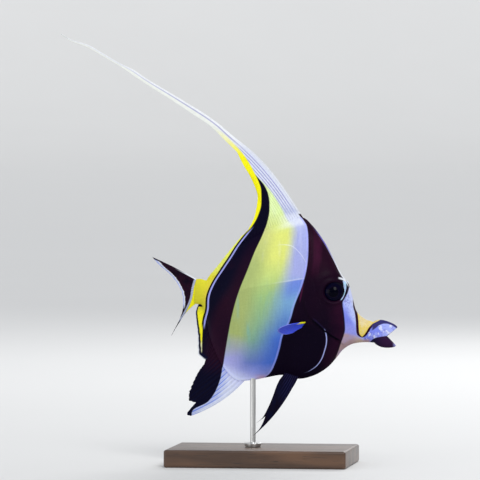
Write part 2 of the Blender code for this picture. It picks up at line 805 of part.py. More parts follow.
def main():
    """Build every piece."""
    clear_scene()
    model = collection("moorish_idol")
    cutters = collection("cutters")
    looks = {
        "head": material("face", FLESH_LOOK, 0.45),
        "torso": material("trunk", SHEEN_LOOK, 0.40),
        "tail_stalk": material("tail_yellow", YELLOW_LOOK, 0.45),
        "upper_jaw": material("upper_lip", LIP_LOOK, 0.40),
        "lower_jaw": material("lower_lip", FLESH_LOOK, 0.40),
        "yellow": material("fin_yellow", YELLOW_LOOK, 0.50),
        "white": material("fin_white", WHITE_LOOK, 0.50),
        "black": material("fin_black", FLESH_LOOK, 0.50),
        "eye": material("eye", EYE_LOOK, 0.10),
        "steel": material("steel", STEEL_LOOK, 0.30, 1.0),
        "walnut": material("walnut", WALNUT_LOOK, 0.45),
    }
    flesh, parts = make_flesh(model, cutters, looks)
    clear = grown(flesh, "clear_of_flesh", GAP, cutters)
    dress_head(parts["head"], flesh, model, cutters, looks)
    fins = make_dorsal(model, looks) + [make_anal(model, looks), make_caudal(model, looks)]
    fins += make_pelvics(model, looks) + make_pectorals(model, looks)
    for piece in fins:
        cut(piece, "DIFFERENCE", clear)
        keep_largest(piece)
    make_stand(model, clear, looks)
    for obj in cutters.objects:
        obj.hide_render = True
        obj.display_type = "WIRE"


main()
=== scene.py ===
"""Moorish idol on its display stand: the skin, fins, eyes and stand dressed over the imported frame.

Sizes on the fish are in millimetres from the middle of its tail fin's root: along is forward, across
is to its left and up is up. Points written in pairs are (along, up) in the fish's side plane.
"""

import logging
import math
from abc import ABC, abstractmethod
from collections.abc import Callable, Iterator, Sequence
from contextlib import contextmanager
from dataclasses import dataclass
from enum import Enum

import bpy
import numpy as np
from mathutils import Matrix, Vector


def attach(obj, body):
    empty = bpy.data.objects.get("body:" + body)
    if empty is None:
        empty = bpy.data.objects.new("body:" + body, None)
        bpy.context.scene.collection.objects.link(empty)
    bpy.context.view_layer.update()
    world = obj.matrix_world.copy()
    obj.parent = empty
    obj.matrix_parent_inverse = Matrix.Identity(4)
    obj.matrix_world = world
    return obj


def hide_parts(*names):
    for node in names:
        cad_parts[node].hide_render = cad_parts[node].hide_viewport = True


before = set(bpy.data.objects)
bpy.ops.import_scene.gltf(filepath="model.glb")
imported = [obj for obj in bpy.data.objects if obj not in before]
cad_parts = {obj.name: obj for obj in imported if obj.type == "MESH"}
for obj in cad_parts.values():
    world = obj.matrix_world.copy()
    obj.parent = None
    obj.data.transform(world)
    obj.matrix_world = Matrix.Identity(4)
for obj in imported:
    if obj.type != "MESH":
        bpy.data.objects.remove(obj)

log = logging.getLogger("moorish_idol")

MM = 0.001
TAIL_ROOT = (-45.3, 118.0)
SIDE_LEAN = 0.1405
EYE_CENTRE = (95.6, 7.3, 0.3)
PLAN_UNIT = 100.0
RAY_UNIT = 100.0
EYE_UNIT = 10.0
FULL_TURN = 2 * math.pi
QUARTER_TURN = math.pi / 2

SWING_START = 33.0
SWING_RATE = 0.0076
FIN_SWING = 0.009
FIN_TWIST = 0.27
TWIST_REACH = 15.0
STREAMER_START = 36.0
STREAMER_SWAY = 0.00055

CURVE_STEPS = 400
LINE_STEPS = 60
TINY = 1e-9
WELD = 2e-6
BORDER_SPAN = (-100.0, 180.0)
SOFT_EDGE = 0.35
LINE_CORE = 0.45
NOISE_ROUGHNESS = 0.55
RAY_SEED = 7
PER_RAY = 8
TIP_THINNING = 0.62
LEAST_DEPTH = 0.12
FLESH_CREASE = 75.0

Triple = tuple[float, float, float]
Colour = Triple
Point = tuple[float, float]
Sway = Callable[[float, float], float]
Sheet = tuple[np.ndarray, dict[str, np.ndarray], np.ndarray]


def place(along: float, across: float, up: float) -> tuple[float, float, float]:
    """A point of the fish in metres in the row frame."""
    return ((along + TAIL_ROOT[0]) * MM, across * MM, (up + TAIL_ROOT[1]) * MM)


def swing(along: float, _up: float = 0.0) -> float:
    """How far the body and its low fins are swung to the left there.

    Args:
        along: millimetres forward.
        _up: not used, so that every sway is called alike.

    Returns:
        Millimetres to the left.
    """
    behind = max(0.0, SWING_START - along)
    if along >= 0.0:
        return SWING_RATE * behind * behind
    root = SWING_RATE * SWING_START * SWING_START
    return root - 2 * SWING_RATE * SWING_START * along + FIN_SWING * along * along


def twisted_swing(along: float, up: float) -> float:
    """The swing of the tail fin, whose upper lobe leans back to the right."""
    return swing(along) - FIN_TWIST * up * min(1.0, max(0.0, -along) / TWIST_REACH)


def streamer_sway(along: float, _up: float) -> float:
    """The gentle drift of the streamer to the right."""
    past = max(0.0, STREAMER_START - along)
    return -STREAMER_SWAY * past * past


def no_sway(_along: float, _up: float) -> float:
    """A fin that keeps its own place across the fish."""
    return 0.0


def hermite(p1: Vector, slope1: Vector, p2: Vector, slope2: Vector, t: float) -> Vector:
    """The cubic from p1 to p2 that leaves and arrives with these slopes.

    Args:
        p1: where it starts.
        slope1: its slope there.
        p2: where it ends.
        slope2: its slope there.
        t: the share of the way, 0 to 1.

    Returns:
        The point.
    """
    t2, t3 = t * t, t * t * t
    return (p1 * (2 * t3 - 3 * t2 + 1) + slope1 * (t3 - 2 * t2 + t)
            + p2 * (3 * t2 - 2 * t3) + slope2 * (t3 - t2))


def between(points: Sequence[Sequence[float]], share: float) -> Vector:
    """A point on the smooth curve through the points, share 0 to 1 by point number.

    Args:
        points: the curve's points.
        share: the share of the way, 0 to 1.

    Returns:
        The point.
    """
    last = len(points) - 1
    at = min(max(share, 0.0), 1.0) * last
    i = min(int(at), last - 1)
    p1, p2 = Vector(points[i]), Vector(points[i + 1])
    p0 = Vector(points[i - 1]) if i else p1 * 2 - p2
    p3 = Vector(points[i + 2]) if i + 2 <= last else p2 * 2 - p1
    return hermite(p1, (p2 - p0) / 2, p2, (p3 - p1) / 2, at - i)


def evenly(points: Sequence[Sequence[float]], count: int) -> list[Vector]:
    """Points spaced evenly by length along the smooth curve through the given ones.

    Args:
        points: the curve's points.
        count: how many points are wanted.

    Returns:
        The points.
    """
    fine = [between(points, i / CURVE_STEPS) for i in range(CURVE_STEPS + 1)]
    reach = [0.0]
    for a, b in zip(fine, fine[1:]):
        reach.append(reach[-1] + (b - a).length)
    found, k = [], 0
    for i in range(count):
        want = reach[-1] * i / (count - 1)
        while k < CURVE_STEPS - 1 and reach[k + 1] < want:
            k += 1
        found.append(fine[k].lerp(fine[k + 1], (want - reach[k]) / max(reach[k + 1] - reach[k], TINY)))
    return found


def flat_points(*points: Point) -> list[Vector]:
    """Side-plane points as points of the fish."""
    return [Vector((along, 0.0, up)) for along, up in points]


def directions(*degrees: float) -> list[Vector]:
    """Unit directions in the side plane, from degrees above forward."""
    return [Vector((math.cos(math.radians(d)), 0.0, math.sin(math.radians(d)))) for d in degrees]


def smooth_step(value: np.ndarray, low: float, high: float) -> np.ndarray:
    """0 below low, 1 above high and a smooth ramp between."""
    t = np.clip((value - low) / (high - low), 0.0, 1.0)
    return t * t * (3 - 2 * t)


def bell(value: np.ndarray, width: float) -> np.ndarray:
    """A smooth bump, 1 at 0 and gone past about twice the width."""
    return np.exp(-(value / width) ** 2)


def term(operation: str) -> Callable[["Value", "Value | float"], "Value"]:
    """A method of Value that does one sum with another value or a number."""
    return lambda self, other: self.paint.math(operation, self, other)


class Value:
    """A shader socket that can be used in sums and masks."""

    __add__, __sub__ = term("ADD"), term("SUBTRACT")
    __mul__, __truediv__ = term("MULTIPLY"), term("DIVIDE")
    most, least = term("MAXIMUM"), term("MINIMUM")

    def __init__(self, paint: "Paint", socket: bpy.types.NodeSocket) -> None:
        """Keep the socket and the material it belongs to."""
        self.paint = paint
        self.socket = socket

    def __radd__(self, other: float) -> "Value":
        """Other plus self."""
        return self.paint.math("ADD", other, self)

    def __rsub__(self, other: float) -> "Value":
        """Other less self."""
        return self.paint.math("SUBTRACT", other, self)

    def __neg__(self) -> "Value":
        """Zero less self."""
        return self * -1.0

    def __abs__(self) -> "Value":
        """The size of self."""
        return self.paint.math("ABSOLUTE", self)

    def sine(self) -> "Value":
        """The sine of self, in radians."""
        return self.paint.math("SINE", self)

    def over(self, low: "Value | float", high: "Value | float") -> "Value":
        """0 where self is below low, 1 where it is above high and a smooth ramp between."""
        return self.paint.read("MapRange", {"interpolation_type": "SMOOTHSTEP"},
                               {0: self, 1: low, 2: high, 3: 0.0, 4: 1.0})

    def under(self, low: float, high: float) -> "Value":
        """1 where self is below low, 0 where it is above high and a smooth ramp between."""
        return (-self).over(-high, -low)

    def within(self, start: float, full: float, fading: float, gone: float) -> "Value":
        """0 up to start, 1 from full to fading and 0 again from gone."""
        return self.over(start, full) * self.under(fading, gone)

    def near(self, half_width: float) -> "Value":
        """1 where self is nought and 0 past the half width, with soft sides."""
        return (-abs(self)).over(-half_width, -half_width * LINE_CORE)


class Paint:
    """A material under construction."""

    def __init__(self, name: str, roughness: float, coat: float = 0.0, gloss: float = 0.5,
                 **constants: float) -> None:
        """Start a Principled material.

        Args:
            name: the material's name.
            roughness: its even roughness, which a link may replace.
            coat: the weight of a clear coat.
            gloss: how much it mirrors, 0.5 being glass.
            **constants: other sockets of the shader, with spaces as underscores.
        """
        self.material = bpy.data.materials.new(name)
        self.material.use_nodes = True
        self.nodes = self.material.node_tree.nodes
        self.links = self.material.node_tree.links
        self.shader = self.nodes["Principled BSDF"]
        amounts = {"Roughness": roughness, "Coat Weight": coat, "Specular IOR Level": gloss, **constants}
        for socket, amount in amounts.items():
            self.shader.inputs[socket.replace("_", " ")].default_value = amount

    def node(self, kind: str, settings: dict | None = None, inputs: dict | None = None) -> bpy.types.Node:
        """Add a node.

        Args:
            kind: the node's type, without ShaderNode.
            settings: properties that are set first; curve and stops give a curve's or ramp's points.
            inputs: a value or a link for each socket, by name or number.

        Returns:
            The node.
        """
        made = self.nodes.new("ShaderNode" + kind)
        for key, wanted in (settings or {}).items():
            if key == "curve":
                points = made.mapping.curves[0].points
                for at in wanted[1:-1]:
                    points.new(*at)
                for point, at in zip(points, wanted):
                    point.location = at
                    point.handle_type = "AUTO_CLAMPED"
                made.mapping.update()
            elif key == "stops":
                stops = made.color_ramp.elements
                while len(stops) < len(wanted):
                    stops.new(0.5)
                for stop, (at, colour) in zip(stops, wanted):
                    stop.position = at
                    stop.color = (*colour, 1.0)
            else:
                setattr(made, key, wanted)
        for key, wanted in (inputs or {}).items():
            self.feed(made.inputs[key], wanted)
        return made

    def read(self, kind: str, settings: dict | None = None, inputs: dict | None = None,
             output: int | str = 0) -> Value:
        """Add a node and hand over one of its outputs."""
        return Value(self, self.node(kind, settings, inputs).outputs[output])

    def feed(self, socket: bpy.types.NodeSocket, wanted: "Value | float | Colour") -> None:
        """Link or set one socket.

        Args:
            socket: the socket.
            wanted: a value to link, or a number or colour to set.
        """
        if isinstance(wanted, Value):
            self.links.new(wanted.socket, socket)
        elif isinstance(wanted, tuple) and socket.type == "RGBA":
            socket.default_value = (*wanted, 1.0)
        else:
            socket.default_value = wanted

    def math(self, operation: str, *terms: "Value | float") -> Value:
        """One Math node on the terms."""
        return self.read("Math", {"operation": operation}, dict(enumerate(terms)))

    def mix(self, under: "Value | Colour", over: "Value | Colour", share: "Value | float") -> Value:
        """The under colour with the over colour laid on by its share."""
        return self.read("Mix", {"data_type": "RGBA"}, {0: share, 6: under, 7: over}, 2)

    def shade(self, colour: "Value | Colour", amount: Value) -> Value:
        """A colour scaled by a number.

        Args:
            colour: the colour.
            amount: the number.

        Returns:
            The scaled colour.
        """
        grey = self.read("CombineXYZ", None, {0: amount, 1: amount, 2: amount})
        return self.read("Mix", {"data_type": "RGBA", "blend_type": "MULTIPLY"},
                         {0: 1.0, 6: colour, 7: grey}, 2)

    def ramp(self, amount: Value, stops: Sequence[tuple[float, Colour]]) -> Value:
        """A colour that runs through the stops as amount goes from 0 to 1."""
        return self.read("ValToRGB", {"stops": stops}, {0: amount})

    def curve(self, amount: Value, points: Sequence[Point], low: float, high: float) -> Value:
        """A number read off a smooth curve.

        Args:
            amount: where to read it.
            points: pairs of amount and result, in rising order of amount.
            low: the least number that either may be.
            high: the greatest.

        Returns:
            The result.
        """
        span = high - low
        scaled = [((a - low) / span, (b - low) / span) for a, b in points]
        ends = (0.0, scaled[0][1]), (1.0, scaled[-1][1])
        return self.read("FloatCurve", {"curve": [ends[0], *scaled, ends[1]]},
                         {"Value": (amount - low) / span}) * span + low

    def uv(self, layer: str) -> tuple[Value, Value]:
        """The two numbers of one of the piece's own maps."""
        parts = self.node("SeparateXYZ", None, {0: self.read("UVMap", {"uv_map": layer})})
        return Value(self, parts.outputs[0]), Value(self, parts.outputs[1])

    def place(self, stretch: Triple = (1.0, 1.0, 1.0)) -> Value:
        """Object coordinates in metres, stretched."""
        where = self.read("TexCoord", output="Object")
        return self.read("Mapping", None, {"Vector": where, "Scale": stretch})

    def noise(self, scale: float, detail: float = 3.0, stretch: Triple = (1.0, 1.0, 1.0)) -> Value:
        """Soft noise from 0 to 1, finer by its scale and drawn out where the stretch is under 1."""
        return self.read("TexNoise", None, {"Vector": self.place(stretch), "Scale": scale,
                                            "Detail": detail, "Roughness": NOISE_ROUGHNESS})

    def cells(self, scale: float) -> Value:
        """The distance from the middle of small uneven cells, such as scales."""
        return self.read("TexVoronoi", {"feature": "F1"}, {"Vector": self.place(), "Scale": scale})

    def bump(self, height: Value, strength: float, distance: float) -> None:
        """Raise the surface by a height, in metres at full strength."""
        raised = self.read("Bump", None, {"Height": height, "Strength": strength, "Distance": distance})
        self.feed(self.shader.inputs["Normal"], raised)

    def finish(self, colour: Value, roughness: Value) -> bpy.types.Material:
        """Feed the shader and hand over the material.

        Args:
            colour: the base colour.
            roughness: the roughness.

        Returns:
            The material.
        """
        self.feed(self.shader.inputs["Base Color"], colour)
        self.feed(self.shader.inputs["Roughness"], roughness)
        return self.material


@dataclass(frozen=True)
class Palette:
    """The fish's colours, linear."""

    black: Colour = (0.0022, 0.0010, 0.0066)
    maroon: Colour = (0.0165, 0.0024, 0.0110)
    wine: Colour = (0.070, 0.008, 0.038)
    navy: Colour = (0.0016, 0.0026, 0.0180)
    yellow: Colour = (0.80, 0.76, 0.012)
    mustard: Colour = (0.58, 0.54, 0.030)
    lime: Colour = (0.66, 0.74, 0.16)
    white: Colour = (0.46, 0.50, 0.66)
    pearl: Colour = (0.62, 0.64, 0.66)
    bright: Colour = (0.73, 0.755, 0.82)
    violet: Colour = (0.12, 0.10, 0.42)
    lilac: Colour = (0.30, 0.30, 0.66)
    line: Colour = (0.34, 0.36, 0.80)
    blue: Colour = (0.045, 0.125, 0.60)
    ice: Colour = (0.41, 0.47, 0.80)
    sky: Colour = (0.150, 0.185, 0.66)
    indigo: Colour = (0.030, 0.066, 0.76)
    cyan: Colour = (0.42, 0.68, 0.86)
    tan: Colour = (0.37, 0.25, 0.26)
    gold: Colour = (0.66, 0.50, 0.07)
    cream: Colour = (0.62, 0.52, 0.28)
    coral: Colour = (0.48, 0.22, 0.20)
    teal: Colour = (0.16, 0.42, 0.42)
    ivory: Colour = (0.70, 0.72, 0.68)
    mist: Colour = (0.30, 0.31, 0.60)
    dusk: Colour = (0.13, 0.18, 0.46)
    azure: Colour = (0.052, 0.13, 0.52)
    pool: Colour = (0.18, 0.36, 0.58)
    haze: Colour = (0.30, 0.33, 0.61)
    moss: Colour = (0.33, 0.40, 0.14)
    leaf: Colour = (0.18, 0.34, 0.25)
    grass: Colour = (0.31, 0.48, 0.19)
    straw: Colour = (0.50, 0.53, 0.18)
    lemon: Colour = (0.58, 0.62, 0.155)
    sprout: Colour = (0.60, 0.73, 0.34)
    # near black, painted as shade in the gill slit's crease
    slit: Colour = (0.0, 0.0, 0.003)

    def rear_ramp(self) -> tuple[tuple[float, Colour], ...]:
        """The flank along the rear dark band, from its lowest to its highest."""
        return ((0.12, self.mist), (0.24, self.moss), (0.60, self.moss), (0.78, self.straw),
                (0.89, self.sprout))

    def middle_ramp(self) -> tuple[tuple[float, Colour], ...]:
        """The flank half way between the dark bands."""
        return ((0.00, self.mist), (0.09, self.dusk), (0.22, self.leaf), (0.45, self.grass),
                (0.64, self.lemon), (0.77, self.lemon), (0.88, self.sprout))

    def front_ramp(self) -> tuple[tuple[float, Colour], ...]:
        """The flank along the front dark band."""
        return ((0.00, self.mist), (0.09, self.azure), (0.22, self.azure), (0.42, self.pool),
                (0.55, self.haze), (0.75, self.haze), (1.00, self.white))


@dataclass(frozen=True)
class Markings:
    """The fish's bands and lines, each in rising order.

    lip_rim, gill_slit, throat_top, jaw_top, brow_line, body_seam and side_line are pairs of (along, up).
    The rest are pairs of (up, along).
    """

    colours: Palette = Palette()
    front_band_rear: tuple[Point, ...] = (
        (-62.0, 45.5), (-58.5, 47.5), (-55.5, 50.7), (-48.6, 54.2), (-38.8, 57.3), (-29.1, 59.6),
        (-19.4, 64.3), (-8.3, 67.6), (5.6, 73.0), (19.4, 76.2), (33.4, 76.9), (44.5, 76.0),
        (49.0, 73.4), (52.0, 70.9), (54.5, 69.6), (58.0, 78.0))
    front_band_front: tuple[Point, ...] = (
        (-46.0, 95.4), (-39.5, 97.4), (-34.6, 98.9), (-28.4, 101.0), (-25.0, 101.7), (-15.2, 101.0),
        (-6.9, 100.0), (-4.0, 101.5), (-0.5, 103.4), (4.5, 105.2), (9.0, 108.0), (20.0, 120.0))
    rear_band_front: tuple[Point, ...] = (
        (-84.5, -3.0), (-74.9, 9.1), (-62.4, 16.0), (-51.3, 18.4), (-40.2, 20.2), (-27.7, 22.3),
        (-13.8, 25.2), (0.1, 29.3), (13.9, 34.9), (27.8, 40.5), (38.9, 45.8), (47.3, 49.0),
        (56.9, 50.5), (65.3, 49.8), (72.0, 47.0), (77.0, 42.9), (80.5, 40.0), (84.5, 38.0),
        (94.2, 31.6), (101.7, 24.6), (107.1, 19.0), (111.9, 12.2), (116.6, 5.4), (121.0, -3.0))
    rear_band_rear: tuple[Point, ...] = (
        (-50.0, -40.0), (-47.5, 3.6), (-32.0, 4.2), (-20.7, 5.0), (-12.4, 6.9), (-4.1, 7.5),
        (4.2, 10.6), (15.3, 17.6), (23.7, 23.2), (30.6, 27.6), (38.0, 33.2), (44.6, 38.6),
        (51.4, 42.4), (61.1, 44.8), (69.4, 44.6), (75.0, 42.8), (80.5, 40.1), (84.5, 38.1),
        (94.2, 31.7), (101.7, 24.7), (107.1, 19.1), (111.9, 12.3), (116.6, 5.5), (121.0, -2.9))
    white_border: tuple[Point, ...] = (
        (38.0, 72.0), (44.0, 66.5), (48.6, 62.6), (56.8, 58.5), (62.2, 55.3), (67.7, 51.7),
        (72.4, 47.6), (77.2, 42.5), (82.0, 37.0), (94.2, 30.0), (107.0, 17.0), (121.0, -5.0))
    tail_line: tuple[Point, ...] = (
        (-30.0, -14.5), (-17.1, -8.2), (-11.4, -5.2), (-5.8, -3.0), (2.3, -1.5), (8.0, 0.2),
        (14.0, 2.5))
    chest_line: tuple[Point, ...] = (
        (-56.0, 73.5), (-53.8, 77.6), (-48.6, 84.0), (-38.8, 88.3), (-31.9, 89.4), (-23.5, 87.4),
        (-21.0, 86.0))
    saddle_rear: tuple[Point, ...] = (
        (-31.6, 117.0), (-30.1, 113.6), (-28.4, 112.1), (-23.9, 111.5), (-19.4, 111.3),
        (-13.9, 110.6), (-9.0, 109.5))
    saddle_front: tuple[Point, ...] = (
        (-31.6, 111.0), (-30.1, 113.9), (-26.7, 116.6), (-23.9, 118.3), (-21.1, 121.4),
        (-19.6, 124.5), (-17.0, 128.0))
    lip_rim: tuple[Point, ...] = (
        (118.0, -27.0), (121.0, -25.6), (122.9, -24.3), (125.7, -22.2), (129.7, -21.2),
        (134.2, -22.4), (138.0, -24.4))
    gill_slit: tuple[Point, ...] = (
        (77.0, -17.5), (80.2, -19.2), (83.4, -21.8), (89.1, -26.9), (97.2, -31.9), (101.0, -33.6))
    throat_top: tuple[Point, ...] = (
        (96.0, -26.0), (102.3, -27.4), (109.9, -29.3), (114.0, -31.5), (119.5, -33.3), (124.0, -36.0))
    jaw_top: tuple[Point, ...] = (
        (117.0, -37.0), (119.4, -33.6), (121.7, -31.4), (125.1, -30.3), (129.1, -29.7), (140.0, -29.0))
    brow_line: tuple[Point, ...] = (
        (95.0, 10.4), (98.0, 9.6), (100.4, 8.9), (103.0, 6.7), (104.6, 3.6), (106.0, 0.0))
    crescent: tuple[Point, ...] = (
        (-6.0, 98.5), (-4.4, 99.8), (-1.0, 101.3), (2.5, 101.9), (5.6, 102.0), (8.0, 101.6))
    body_seam: tuple[Point, ...] = ((25.0, -0.4), (34.0, 2.2), (50.0, 5.4), (62.0, 7.6), (76.0, 9.4))
    side_line: tuple[Point, ...] = (
        (52.0, 30.4), (58.0, 32.2), (65.0, 31.6), (70.7, 27.1), (74.0, 22.6), (76.0, 18.4),
        (78.0, 12.0))


class Coat(Paint):
    """A material painted in layers over the fish's side plane."""

    def __init__(self, name: str, roughness: float, gloss: float, marks: Markings) -> None:
        """Start in black, knowing where each place is in the side plane.

        Args:
            name: the material's name.
            roughness: its even roughness.
            gloss: how much it mirrors.
            marks: the fish's bands and colours.
        """
        super().__init__(name, roughness, gloss=gloss)
        self.marks, self.tone = marks, marks.colours
        along, up = self.uv("plan")
        self.along, self.up = along * PLAN_UNIT, up * PLAN_UNIT
        self.colour: Value | Colour = self.tone.black

    def lay(self, over: Value | Colour, share: Value) -> None:
        """Lay a colour by its share on what is painted so far."""
        self.colour = self.mix(self.colour, over, share)

    def ahead(self, border: Sequence[Point]) -> Value:
        """How far ahead of a border of (up, along) points a place is, in millimetres."""
        return self.along - self.curve(self.up, border, *BORDER_SPAN)

    def above(self, border: Sequence[Point]) -> Value:
        """How far above a border of (along, up) points a place is, in millimetres."""
        return self.up - self.curve(self.along, border, *BORDER_SPAN)

    def flank(self, share: Value, cloud: Value) -> Value:
        """The bright flank: yellow above and behind, green lower down and blue to lilac in front.

        Args:
            share: 0 at the rear dark band to 1 at the front one.
            cloud: soft uneven noise.

        Returns:
            The colour.
        """
        tone, along, up = self.tone, self.along, self.up
        wave = (cloud - 0.5) * 8.0
        brush = self.noise(190.0, 3.0, (1.0, 0.6, 0.22)) - 0.5
        height = (up + 60.0 + wave) / 130.0
        high = up.over(-40.0, 34.0)
        drift = share + wave * 0.010 + brush * 0.10
        middle = drift.over(0.14 - high * 0.08, 0.52 - high * 0.12)
        colour = self.mix(self.ramp(height, tone.rear_ramp()), self.ramp(height, tone.middle_ramp()), middle)
        front = drift.over(0.41 + high * 0.12, 0.98 - high * 0.19)
        colour = self.mix(colour, self.ramp(height, tone.front_ramp()), front)
        low = up.under(-10.0, 14.0) * up.over(-44.0, -26.0)
        colour = self.mix(colour, tone.teal, brush.over(0.02, 0.22) * low * (1.0 - front) * 0.32)
        colour = self.mix(colour, tone.bright, brush.under(-0.2, -0.02) * up.over(8.0, 24.0) * 0.10)
        seam = self.above(self.marks.body_seam)
        colour = self.shade(colour, 0.93 + seam.over(-0.6, 0.6) * 0.10)
        deep = seam.under(-1.2, 0.4) * seam.over(-17.0, -4.0) * drift.over(0.50, 0.92)
        colour = self.mix(colour, tone.blue, deep * 0.55)
        lit = seam.near(0.62) * share.over(0.35, 0.85)
        arc = self.above(self.marks.side_line).near(0.5) * along.within(53.0, 64.0, 75.0, 77.0)
        colour = self.mix(colour, tone.bright, (lit * 0.26).most(arc * 0.36))
        belly = (-up - along * 0.10).over(50.5, 55.0) * along.over(38.0, 46.0)
        return self.mix(colour, tone.coral, belly * 0.55)

    def bands(self) -> None:
        """Paint what body and fins share: the flank, the rear dark band and the yellow behind it."""
        tone, marks, along, up = self.tone, self.marks, self.along, self.up
        streak = self.noise(800.0, 2.0, (1.0, 0.6, 0.10))
        cloud = self.noise(55.0, 4.0)
        rear_front, rear_rear = self.ahead(marks.rear_band_front), self.ahead(marks.rear_band_rear)
        to_face = -self.ahead(marks.front_band_rear)
        share = rear_front / (rear_front + to_face).most(1.0)
        middle = self.mix(self.flank(share, cloud), tone.white, (-up - along * 0.45).over(37.0, 50.0))
        white = self.ahead(marks.white_border).over(-1.2, 1.4) * up.over(42.0, 50.0)
        middle = self.mix(middle, tone.white, white)
        glow = (up - 47.5 - (along - 60.0) * 0.22).near(6.0) * along.over(54.0, 64.0)
        middle = self.shade(self.mix(middle, tone.bright, glow * 0.45), 0.90 + streak * 0.20)
        wider = up.under(-20.0, 8.0) * 7.0
        warm = (rear_front + wider).over(-11.0, -2.0) * up.within(-60.0, -46.0, 4.0, 50.0)
        warm = (warm * (0.30 + cloud * 0.8)).most(cloud.over(0.55, 0.8) * 0.25)
        dark = self.mix(self.mix(tone.black, tone.navy, 0.35), tone.maroon, warm)
        self.colour = self.mix(middle, dark, rear_front.under(-SOFT_EDGE, SOFT_EDGE))
        rear = self.mix(tone.mustard, tone.yellow, up.over(6.0, 44.0))
        rear = self.mix(rear, tone.lime, up.within(8.0, 16.0, 34.0, 44.0) * 0.62)
        rear = self.mix(rear, tone.yellow, up.under(-16.0, -12.0) * 0.8)
        rear = self.mix(rear, tone.ivory, up.over(90.0, 113.0) * 0.9)
        rear = self.mix(rear, tone.ivory, up.under(-38.0, -33.0) * 0.6)
        glow = rear_rear.over(-5.0, -0.5) * up.within(-10.0, -5.0, 6.0, 12.0)
        rear = self.shade(self.mix(rear, tone.gold, glow * 0.35), 0.92 + cloud * 0.14)
        self.lay(rear, rear_rear.under(-SOFT_EDGE, SOFT_EDGE))
        lined = up.within(-27.0, -22.0, 38.0, 45.0)
        self.lay(tone.black, (rear_rear + 0.3).near(0.7) * lined)
        self.lay(tone.line, (rear_rear - 1.1).near(0.75) * lined * 0.9)


